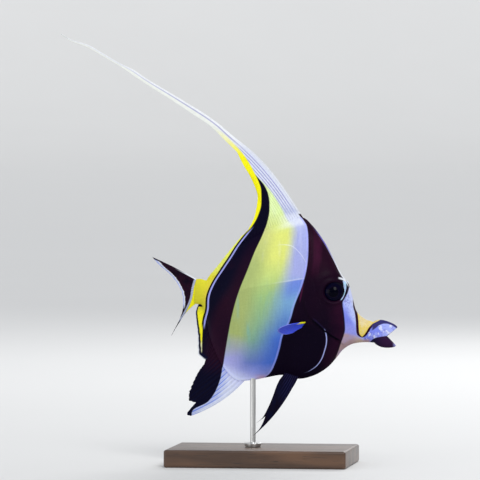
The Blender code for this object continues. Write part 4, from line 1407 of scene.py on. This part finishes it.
def surface_normals(points: np.ndarray) -> np.ndarray:
    """Outward normals of a wrapped grid of rings.

    Args:
        points: rings by points by three, each ring ending on its first point.

    Returns:
        Unit vectors, rings by points by three.
    """
    along = np.gradient(points, axis=0)
    inner = points[:, :-1]
    around = np.roll(inner, -1, axis=1) - np.roll(inner, 1, axis=1)
    around = np.concatenate((around, around[:, :1]), axis=1)
    normals = np.cross(around, along)
    normals /= np.maximum(np.linalg.norm(normals, axis=2, keepdims=True), TINY)
    outwards = normals[..., 1] * points[..., 1] + normals[..., 2] * (points[..., 2] - points[..., 2].mean())
    return normals if outwards.sum() > 0 else -normals


def plan_map(points: np.ndarray) -> np.ndarray:
    """Where a sheet's points are seen in the side plane, for the map of that name."""
    return np.stack((points[..., 0] + SIDE_LEAN * points[..., 1], points[..., 2]), axis=2) / PLAN_UNIT


@dataclass
class RayedSheet:
    """A thin sheet of membrane and rays between a root and an edge.

    edges are the curves that the rays end on, each with its number of rays. leave and arrive are the
    rays' directions at the root and at the edge, from the first ray to the last. fray draws the edge in
    between two rays, unevenness varies the rays' lengths, and ragged scales both along the edge. fork
    says how far out a ray starts to part in two and over what share of its length.
    """

    root: list[Vector]
    edges: list[tuple[list[Vector], int]]
    leave: list[Vector]
    arrive: list[Vector]
    rows: int
    sway: Sway = no_sway
    fray: float = 0.0
    unevenness: float = 0.0
    ragged: tuple[float, ...] = (1.0,)
    flutter: float = 0.0
    waves: Point = (9.0, 2.0)
    fork: Point = (0.45, 0.3)
    sharpness: float = 1.3

    def grid(self) -> Sheet:
        """Lay out the sheet.

        Returns:
            Its points in millimetres, its maps, and each point's thickness profile from 0 to 1.
        """
        tips = [evenly(self.edges[0][0], 2)[0]]
        for curve, count in self.edges:
            tips += evenly(curve, count * PER_RAY + 1)[1:]
        columns = len(tips) - 1
        roots = evenly(self.root, columns + 1)
        lengths = np.random.default_rng(RAY_SEED).uniform(-1.0, 1.0, columns // PER_RAY + 2)
        points = np.zeros((self.rows + 1, columns + 1, 3))
        rays = np.zeros((self.rows + 1, columns + 1, 2))
        crest = np.zeros((self.rows + 1, columns + 1))
        for column in range(columns + 1):
            across, phase = column / columns, column / PER_RAY
            out = between(self.leave, across).normalized()
            into = between(self.arrive, across).normalized()
            swell = math.sin(math.pi * phase) ** 2
            change = self.unevenness * lengths[int(phase)] * swell - self.fray * (1 - swell)
            change *= np.interp(across, np.linspace(0.0, 1.0, len(self.ragged)), self.ragged)
            inner = 0.0 < across < 1.0
            start, end = roots[column], tips[column] + into * (change if inner else 0.0)
            reach = (end - start).length
            for row in range(self.rows + 1):
                share = row / self.rows
                point = hermite(start, out * reach, end, into * reach, share)
                wave = self.flutter * share * math.sin(across * self.waves[0] + share * self.waves[1])
                point.y += self.sway(point.x, point.z) + wave
                points[row, column] = point
                fork = min(1.0, max(0.0, (share - self.fork[0]) / self.fork[1]))
                forked = math.sin(FULL_TURN * phase) ** 2
                crest[row, column] = (swell * (1 - fork) + forked * fork) ** self.sharpness
                rays[row, column] = (phase / RAY_UNIT, share)
        return points, {"plan": plan_map(points), "rays": rays}, crest


class Fin(ABC):
    """A fin made as one thin solid with raised rays.

    ridge is its thickness over a ray at the root in millimetres, and web the membrane's share of it.
    """

    name: str
    nodes: tuple[str, ...]
    ridge: float
    web: float
    slot: str = "fin_black"

    @abstractmethod
    def sheets(self) -> list[Sheet]:
        """The fin's laid-out sheets, whose edges may meet."""

    def build(self, finish: FinFinish) -> None:
        """Model and dress the fin.

        Args:
            finish: its finish.
        """
        pieces = []
        for number, (points, maps, crest) in enumerate(self.sheets()):
            taper = 1.0 - TIP_THINNING * maps["rays"][..., 1]
            depth = np.clip((self.web + (1 - self.web) * crest) * taper, LEAST_DEPTH, 1.0)
            maps = {**maps, "depth": np.stack((depth, depth), axis=2)}
            pieces.append(grid_piece(f"{self.name}_{number}", points, maps))
        fin = join(self.name, pieces)
        group = fin.vertex_groups.new(name="depth")
        flat = np.empty(len(fin.data.loops) * 2, np.float32)
        fin.data.uv_layers["depth"].data.foreach_get("uv", flat)
        weights = np.zeros(len(fin.data.vertices))
        weights[corners(fin.data)] = flat[0::2]
        for index, weight in enumerate(weights):
            group.add([index], float(weight), "REPLACE")
        fin.data.uv_layers.remove(fin.data.uv_layers["depth"])
        apply_modifier(fin, "SOLIDIFY", thickness=self.ridge * MM, offset=0.0, vertex_group="depth")
        turn_outwards(fin)
        smooth(fin, FLESH_CREASE)
        dress(fin, finish.material(), self.slot, *self.nodes)


@dataclass
class DorsalFin(Fin):
    """The back fin: tall spiny front, the streamer it runs into and the low soft rear."""

    name: str = "dorsal_fin"
    nodes: tuple[str, ...] = ("dorsal_fin_spiny", "dorsal_fin_soft", "dorsal_streamer")
    ridge: float = 1.25
    web: float = 0.42
    slot: str = "fin_white"
    rows: int = 60
    streamer_rows: int = 190
    streamer_rays: int = 5
    streamer_flattening: float = 0.4
    lead: tuple = ((34.5, 98.6), (24.2, 106.6), (15.5, 113.9), (5.8, 120.8), (-6.4, 128.2),
                   (-19.5, 136.1), (-32.7, 143.9), (-42.3, 150.4), (-52.9, 155.6), (-63.3, 161.7),
                   (-73.0, 167.3), (-85.2, 171.3), (-91.6, 175.3))
    trail: tuple = ((28.1, 94.8), (19.9, 102.7), (10.2, 112.2), (-2.0, 120.4), (-15.1, 129.1),
                    (-28.2, 137.3), (-41.3, 145.9), (-50.1, 152.0), (-63.2, 159.8), (-73.7, 165.9),
                    (-85.2, 170.3), (-91.9, 174.7))

    def spiny(self) -> RayedSheet:
        """The tall front part.

        Returns:
            The sheet.
        """
        return RayedSheet(
            root=flat_points((75.4, 47.2), (62.0, 44.4), (45.3, 37.4)),
            edges=[(flat_points((34.5, 98.6), (28.1, 94.8)), self.streamer_rays),
                   (flat_points((28.1, 94.8), (32.3, 86.3), (36.5, 79.4), (40.0, 72.1), (42.2, 65.2),
                                (41.7, 57.8)), 12)],
            leave=directions(122.5, 112, 100), arrive=directions(142, 128, 100),
            rows=self.rows, sway=streamer_sway)

    def soft(self) -> RayedSheet:
        """The low rear part.

        Returns:
            The sheet.
        """
        return RayedSheet(
            root=flat_points((45.3, 37.4), (35.8, 31.4), (23.0, 19.0), (11.0, 6.4)),
            edges=[(flat_points((41.7, 57.8), (39.6, 49.6), (35.6, 42.0), (31.0, 37.4), (26.5, 32.0),
                                (21.3, 25.8), (16.2, 19.4), (11.3, 13.7), (8.2, 10.1), (6.2, 6.6)), 15)],
            leave=directions(100, 125, 152), arrive=directions(100, 132, 160),
            rows=self.rows, sway=swing, fray=0.2)

    def streamer(self, start: np.ndarray) -> Sheet:
        """The streamer, from the last row of the spiny part's first rays.

        Args:
            start: that row's points.

        Returns:
            Its grid, as RayedSheet gives it.
        """
        rows, columns = self.streamer_rows, len(start) - 1
        ahead = evenly(flat_points(*self.lead), rows + 1)
        behind = evenly(flat_points(*self.trail), rows + 1)
        points = np.zeros((rows + 1, columns + 1, 3))
        rays = np.zeros((rows + 1, columns + 1, 2))
        crest = np.zeros((rows + 1, columns + 1))
        for row in range(rows + 1):
            flatter = 1 - self.streamer_flattening * (row / rows)
            for column in range(columns + 1):
                across = column / columns
                point = ahead[row].lerp(behind[row], across)
                point.y = streamer_sway(point.x, point.z)
                points[row, column] = point
                phase = across * self.streamer_rays
                rays[row, column] = (phase / RAY_UNIT, 1.0)
                crest[row, column] = math.sin(math.pi * phase) ** 2 * flatter
        points[0] = start
        return points, {"plan": plan_map(points), "rays": rays}, crest

    def sheets(self) -> list[Sheet]:
        """The spiny part, the soft part and the streamer."""
        spiny = self.spiny().grid()
        return [spiny, self.soft().grid(), self.streamer(spiny[0][-1, :self.streamer_rays * PER_RAY + 1])]


@dataclass
class AnalFin(Fin):
    """The fin below, its long front edge, black lobe and narrow strip before the tail."""

    name: str = "anal_fin_sheet"
    nodes: tuple[str, ...] = ("anal_fin",)
    ridge: float = 1.05
    web: float = 0.4
    rows: int = 48

    def sheets(self) -> list[Sheet]:
        """The one sheet.

        Returns:
            The sheet, alone in a list.
        """
        return [RayedSheet(
            root=flat_points((34.4, -59.6), (21.8, -49.0), (13.9, -35.8), (9.9, -21.4), (6.2, -9.6)),
            edges=[(flat_points((-5.6, -86.0), (-8.4, -84.8), (-4.4, -79.6), (-1.8, -76.8)), 4),
                   (flat_points((-1.8, -76.8), (-5.8, -75.8), (-7.3, -72.3), (-5.4, -67.3), (-2.8, -61.1),
                                (0.4, -55.4), (4.5, -50.1), (5.4, -47.3)), 11),
                   (flat_points((5.4, -47.3), (2.9, -45.8), (0.3, -43.0), (-0.2, -30.6), (-1.3, -22.0),
                                (-1.7, -14.3), (0.6, -8.6)), 9)],
            leave=directions(230, 224, 214, 204, 192), arrive=directions(199, 218, 216, 200, 184),
            rows=self.rows, sway=swing, fray=0.9, unevenness=0.8, flutter=0.35,
            ragged=(0.2, 0.4, 0.9, 1.0, 0.5, 0.2, 0.15, 0.1)).grid()]


@dataclass
class TailFin(Fin):
    """The tail fin between its two drawn-out lobes."""

    name: str = "tail_fin_sheet"
    nodes: tuple[str, ...] = ("caudal_fin",)
    ridge: float = 1.0
    web: float = 0.4
    rows: int = 40

    def sheets(self) -> list[Sheet]:
        """The one sheet.

        Returns:
            The sheet, alone in a list.
        """
        return [RayedSheet(
            root=flat_points((1.2, 6.4), (-0.2, -0.6), (-0.4, -8.2)),
            edges=[(flat_points((-35.0, 21.8), (-29.4, 16.6), (-23.1, 12.2), (-17.8, 7.5), (-14.6, 2.8),
                                (-12.4, -0.8), (-11.4, -5.0)), 9),
                   (flat_points((-11.4, -5.0), (-11.5, -9.2), (-12.2, -14.0), (-15.2, -21.0),
                                (-22.0, -32.2)), 8)],
            leave=directions(150, 180, 212), arrive=directions(162, 184, 240),
            rows=self.rows, sway=twisted_swing, fray=0.25, unevenness=0.2).grid()]


@dataclass
class PelvicFin(Fin):
    """One long pointed belly fin."""

    word: str
    side: float
    turn: float
    shorter: float
    splay: float
    ridge: float = 1.1
    web: float = 0.45
    rows: int = 70
    hinge: Point = (64.0, -57.5)
    root_across: float = 1.9
    splay_top: float = -57.0
    tip_shift: float = -1.2
    rear: tuple = ((38.9, -98.1, 1.0), (44.3, -92.0, 0.9), (48.2, -83.2, 0.7), (50.9, -76.0, 0.5),
                   (53.5, -69.6, 0.3), (55.6, -64.0, 0.1), (57.6, -60.0, 0.0))

    def __post_init__(self) -> None:
        """Name this side's fin."""
        self.name, self.nodes = f"pelvic_fin_sheet_{self.word}", (f"pelvic_fin_{self.word}",)

    def turned(self, along: float, up: float, share: float) -> Vector:
        """A point after the fin has swung about its root and shortened.

        Args:
            along: millimetres forward.
            up: millimetres up.
            share: how much of the swing it takes, 0 to 1.

        Returns:
            The point.
        """
        angle = -math.radians(self.turn * share)
        away = Vector((along - self.hinge[0], up - self.hinge[1])) * (1.0 - self.shorter * share)
        return Vector((self.hinge[0] + away.x * math.cos(angle) - away.y * math.sin(angle), 0.0,
                       self.hinge[1] + away.x * math.sin(angle) + away.y * math.cos(angle)))

    def spread(self, _along: float, up: float) -> float:
        """How far out the fin stands there."""
        return self.side * (self.root_across + self.splay * max(0.0, self.splay_top - up))

    def sheets(self) -> list[Sheet]:
        """The one sheet.

        Returns:
            The sheet, alone in a list.
        """
        shift = self.side * self.tip_shift
        edge = [self.turned(along + shift * share, up, share) for along, up, share in self.rear]
        return [RayedSheet(
            root=flat_points((70.8, -56.2), (61.6, -54.6)), edges=[(edge, 7)],
            leave=directions(248, 247, 236), arrive=directions(219 - self.turn, 232 - self.turn, 234),
            rows=self.rows, sway=self.spread, unevenness=0.15).grid()]


@dataclass
class PectoralFin(Fin):
    """One fan behind a gill cover, held out and back, in places of (along, out, up)."""

    word: str
    side: float
    ridge: float = 0.95
    web: float = 0.35
    rows: int = 44
    root: tuple = ((77.0, 11.0, -20.0), (75.8, 11.2, -21.8), (74.2, 11.0, -23.6))
    rim: tuple = ((68.4, 29.6, -20.7), (65.6, 32.6, -21.5), (62.0, 33.0, -22.9), (60.0, 30.4, -24.8),
                  (60.8, 26.6, -27.0), (64.4, 22.0, -28.1), (68.4, 17.8, -27.4))
    leave: tuple = ((-0.30, 0.95, 0.03), (-0.5, 0.86, -0.04), (-0.6, 0.75, -0.3))
    arrive: tuple = ((-0.52, 0.85, -0.06), (-0.68, 0.72, -0.13), (-0.66, 0.64, -0.42))

    def __post_init__(self) -> None:
        """Name this side's fin."""
        self.name, self.nodes = f"pectoral_fin_sheet_{self.word}", (f"pectoral_fin_{self.word}",)

    def sided(self, places: Sequence[Triple]) -> list[Vector]:
        """Places or directions on this side of the fish."""
        return [Vector((along, self.side * out, up)) for along, out, up in places]

    def sheets(self) -> list[Sheet]:
        """The one sheet.

        Returns:
            The sheet, alone in a list.
        """
        return [RayedSheet(root=self.sided(self.root), edges=[(self.sided(self.rim), 12)],
                           leave=self.sided(self.leave), arrive=self.sided(self.arrive),
                           rows=self.rows, fray=0.2, unevenness=0.15).grid()]


@dataclass
class Eye:
    """One flattened eyeball with its cornea, set in its socket and turned forward and up."""

    word: str
    side: float
    centre: Triple = EYE_CENTRE
    radius: float = 7.4
    depth: float = 5.0
    cornea: float = 0.5
    cornea_reach: float = 0.45
    forward: float = 16.0
    up: float = 8.0
    segments: int = 64
    ring_count: int = 40

    def build(self, finish: EyeFinish) -> None:
        """Model and dress the eye.

        Args:
            finish: its finish.
        """
        forward, up = math.radians(self.forward), math.radians(self.up)
        look = Vector((math.sin(forward), self.side * math.cos(forward), math.sin(up))).normalized()
        turn = look.to_track_quat("Z", "Y")
        centre = Vector(place(self.centre[0], self.side * self.centre[1], self.centre[2]))
        made = add_shape(f"eyeball_{self.word}", bpy.ops.mesh.primitive_uv_sphere_add,
                         segments=self.segments, ring_count=self.ring_count, radius=1.0)
        seen = []
        for vert in made.data.vertices:
            off_axis = math.hypot(vert.co.x, vert.co.y) / self.cornea_reach
            bulge = self.cornea * math.exp(-(off_axis ** 2)) * (vert.co.z > 0)
            flat = Vector((vert.co.x * self.radius, vert.co.y * self.radius, vert.co.z * self.depth + bulge))
            vert.co = centre + turn @ (flat * MM)
            seen.append(((vert.co.x - centre.x) / MM, (vert.co.z - centre.z) / MM))
        set_maps(made.data, {"iris": np.array(seen) / EYE_UNIT})
        smooth(made, degrees=180.0)
        dress(made, finish.material(), "eye", f"eye_{self.word}")


@dataclass
class Stand:
    """The walnut base with rounded edges, and the steel rod in its collar."""

    base: Triple = (124.0, 78.0, 12.0)
    edge: float = 1.6
    rod_foot: float = -6.2
    rod_radius: float = 1.9
    rod_top: float = 58.9
    collar_radius: float = 6.0
    collar_height: float = 2.6
    collar_edge: float = 0.55
    gap: float = 0.3
    arc_steps: int = 8
    around: int = 72
    weld: float = 1e-7
    edge_steps: int = 8

    def block(self, finish: WalnutFinish) -> None:
        """Model and dress the base.

        Args:
            finish: its finish.
        """
        made = add_shape("display_base", bpy.ops.mesh.primitive_cube_add, size=1.0)
        with editing():
            bpy.ops.transform.resize(value=tuple(side * MM for side in self.base))
            bpy.ops.transform.translate(value=(0.0, 0.0, self.base[2] / 2 * MM))
        apply_modifier(made, "BEVEL", width=self.edge * MM, segments=self.edge_steps, limit_method="ANGLE")
        smooth(made, degrees=30.0)
        dress(made, finish.material(), "walnut", "stand_base")

    def profile(self) -> list[Point]:
        """The rod's and collar's outline as (out, up), from the foot's middle to the top's.

        Returns:
            The points, in millimetres.
        """
        foot, edge = self.base[2] + self.gap, self.collar_edge
        top = foot + self.collar_height
        turns = [step / self.arc_steps * QUARTER_TURN for step in range(self.arc_steps + 1)]
        rim = [(self.collar_radius - edge * (1 - math.cos(turn)), top - edge * (1 - math.sin(turn)))
               for turn in turns]
        neck = [(self.rod_radius + edge * (1 - math.sin(turn)), top + edge * (1 - math.cos(turn)))
                for turn in turns]
        return [(0.0, foot), (self.collar_radius - edge, foot), *rim, *neck,
                (self.rod_radius, self.rod_top), (0.0, self.rod_top)]

    def rod(self, finish: SteelFinish) -> None:
        """Model and dress the rod with its collar, as one turned shape.

        Args:
            finish: its finish.
        """
        profile = self.profile()
        made = add_shape("display_rod", bpy.ops.mesh.primitive_circle_add, vertices=len(profile), radius=1.0)
        for vert, (out, up) in zip(made.data.vertices, profile):
            vert.co = Vector((out * MM, 0.0, up * MM))
        with editing():
            bpy.ops.mesh.spin(steps=self.around, angle=FULL_TURN, center=(0.0, 0.0, 0.0),
                              axis=(0.0, 0.0, 1.0))
            bpy.ops.mesh.select_all(action="SELECT")
            bpy.ops.mesh.remove_doubles(threshold=self.weld)
            bpy.ops.transform.translate(value=(self.rod_foot * MM, 0.0, 0.0))
        turn_outwards(made)
        smooth(made, degrees=35.0)
        dress(made, finish.material(), "steel", "stand_rod")


@dataclass
class Studio:
    """Floor, soft lights and the camera at the photograph's viewing angle, in metres and degrees.

    Each lamp is its name, place, size and power.
    """

    azimuth: float = 8.0
    elevation: float = 2.0
    distance: float = 4.0
    aim: Triple = (-0.0150, 0.0, 0.1530)
    frame_width: float = 0.3264
    sensor: float = 36.0
    sky: float = 0.60
    sky_colour: Colour = (0.92, 0.95, 1.0)
    sun_from: Triple = (0.7, -1.5, 1.5)
    sun_power: float = 2.2
    lamps: tuple = (("fill", (-1.3, -1.3, 0.3), 1.2, 10.0), ("rim", (0.4, 1.4, 1.0), 0.9, 12.0))
    lamp_aim: Triple = (0.0, 0.0, 0.13)
    floor_radius: float = 9.0
    floor_sides: int = 128
    cove_radius: float = 3.0
    cove_steps: int = 16
    softness: float = 30.0

    def build(self) -> None:
        """Set up everything that isn't the fish."""
        self.camera()
        self.floor(FloorFinish())
        sun = Vector(self.sun_from)
        self.light("key", "SUN", sun, -sun, self.sun_power, angle=math.radians(self.softness))
        for name, at, size, power in self.lamps:
            self.light(name, "AREA", Vector(at), Vector(self.lamp_aim) - Vector(at), power, size=size)
        world = bpy.data.worlds.new("studio")
        bpy.context.scene.world = world
        world.use_nodes = True
        background = world.node_tree.nodes["Background"]
        background.inputs["Color"].default_value = (*self.sky_colour, 1.0)
        background.inputs["Strength"].default_value = self.sky
        bpy.context.scene.view_settings.view_transform = "Standard"

    def aimed(self, name: str, data: bpy.types.ID, at: Vector, look: Vector) -> bpy.types.Object:
        """Put a camera or a light into the scene, looking that way.

        Args:
            name: the object's name.
            data: the camera or light.
            at: where it stands, in metres.
            look: which way it points.

        Returns:
            The object.
        """
        made = bpy.data.objects.new(name, data)
        made.location = at
        made.rotation_euler = look.to_track_quat("-Z", "Y").to_euler()
        bpy.context.scene.collection.objects.link(made)
        return made

    def camera(self) -> None:
        """Place the camera."""
        azimuth, elevation = math.radians(self.azimuth), math.radians(self.elevation)
        aim = Vector((self.aim[0] * math.cos(azimuth), self.aim[0] * math.sin(azimuth), self.aim[2]))
        back = Vector((math.sin(azimuth) * math.cos(elevation), -math.cos(azimuth) * math.cos(elevation),
                       math.sin(elevation)))
        data = bpy.data.cameras.new("camera")
        data.sensor_width = self.sensor
        data.lens = self.sensor * self.distance / self.frame_width
        bpy.context.scene.camera = self.aimed("camera", data, aim + back * self.distance, -back)

    def light(self, name: str, kind: str, at: Vector, look: Vector, power: float, **shape: float) -> None:
        """Add a soft light.

        Args:
            name: its name.
            kind: SUN or AREA.
            at: where it stands, in metres.
            look: which way it shines.
            power: its strength, in watts for a lamp.
            **shape: a sun's angle or a lamp's size.
        """
        data = bpy.data.lights.new(name, kind)
        data.energy = power
        for key, wanted in shape.items():
            setattr(data, key, wanted)
        self.aimed(name, data, at, look)

    def floor(self, finish: FloorFinish) -> None:
        """A wide round floor that curves up into a wall on all sides.

        Args:
            finish: its finish.
        """
        made = add_shape("floor", bpy.ops.mesh.primitive_circle_add, vertices=self.floor_sides,
                         radius=self.floor_radius, fill_type="NGON")
        radius, height = self.floor_radius, 0.0
        with editing(selected=False):
            bpy.ops.mesh.select_mode(type="EDGE")
            bpy.ops.mesh.select_all(action="DESELECT")
            bpy.ops.mesh.select_non_manifold()
            for step in range(1, self.cove_steps + 1):
                turn = step / self.cove_steps * QUARTER_TURN
                wider = self.floor_radius + self.cove_radius * math.sin(turn)
                higher = self.cove_radius * (1 - math.cos(turn))
                bpy.ops.mesh.extrude_edges_move(TRANSFORM_OT_translate={"value": (0, 0, higher - height)})
                bpy.ops.transform.resize(value=(wider / radius, wider / radius, 1.0))
                radius, height = wider, higher
        smooth(made, degrees=40.0)
        made.data.materials.append(finish.material())


def main() -> None:
    """Build every piece in order."""
    logging.basicConfig(level=logging.INFO, format="%(name)s: %(message)s")
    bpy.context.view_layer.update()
    Studio().build()
    Skin().build(SkinFinish())
    for word, side in (("right", -1.0), ("left", 1.0)):
        Eye(word, side).build(EyeFinish())
        PectoralFin(word, side).build(FinFinish(FinKind.PECTORAL))
    DorsalFin().build(FinFinish(FinKind.DORSAL))
    AnalFin().build(FinFinish(FinKind.ANAL))
    TailFin().build(FinFinish(FinKind.TAIL))
    PelvicFin("right", -1.0, 0.0, 0.0, 0.17).build(FinFinish(FinKind.PELVIC))
    PelvicFin("left", 1.0, 3.4, 0.15, 0.30).build(FinFinish(FinKind.PELVIC))
    stand = Stand()
    stand.block(WalnutFinish())
    stand.rod(SteelFinish())


if __name__ == "__main__":
    main()
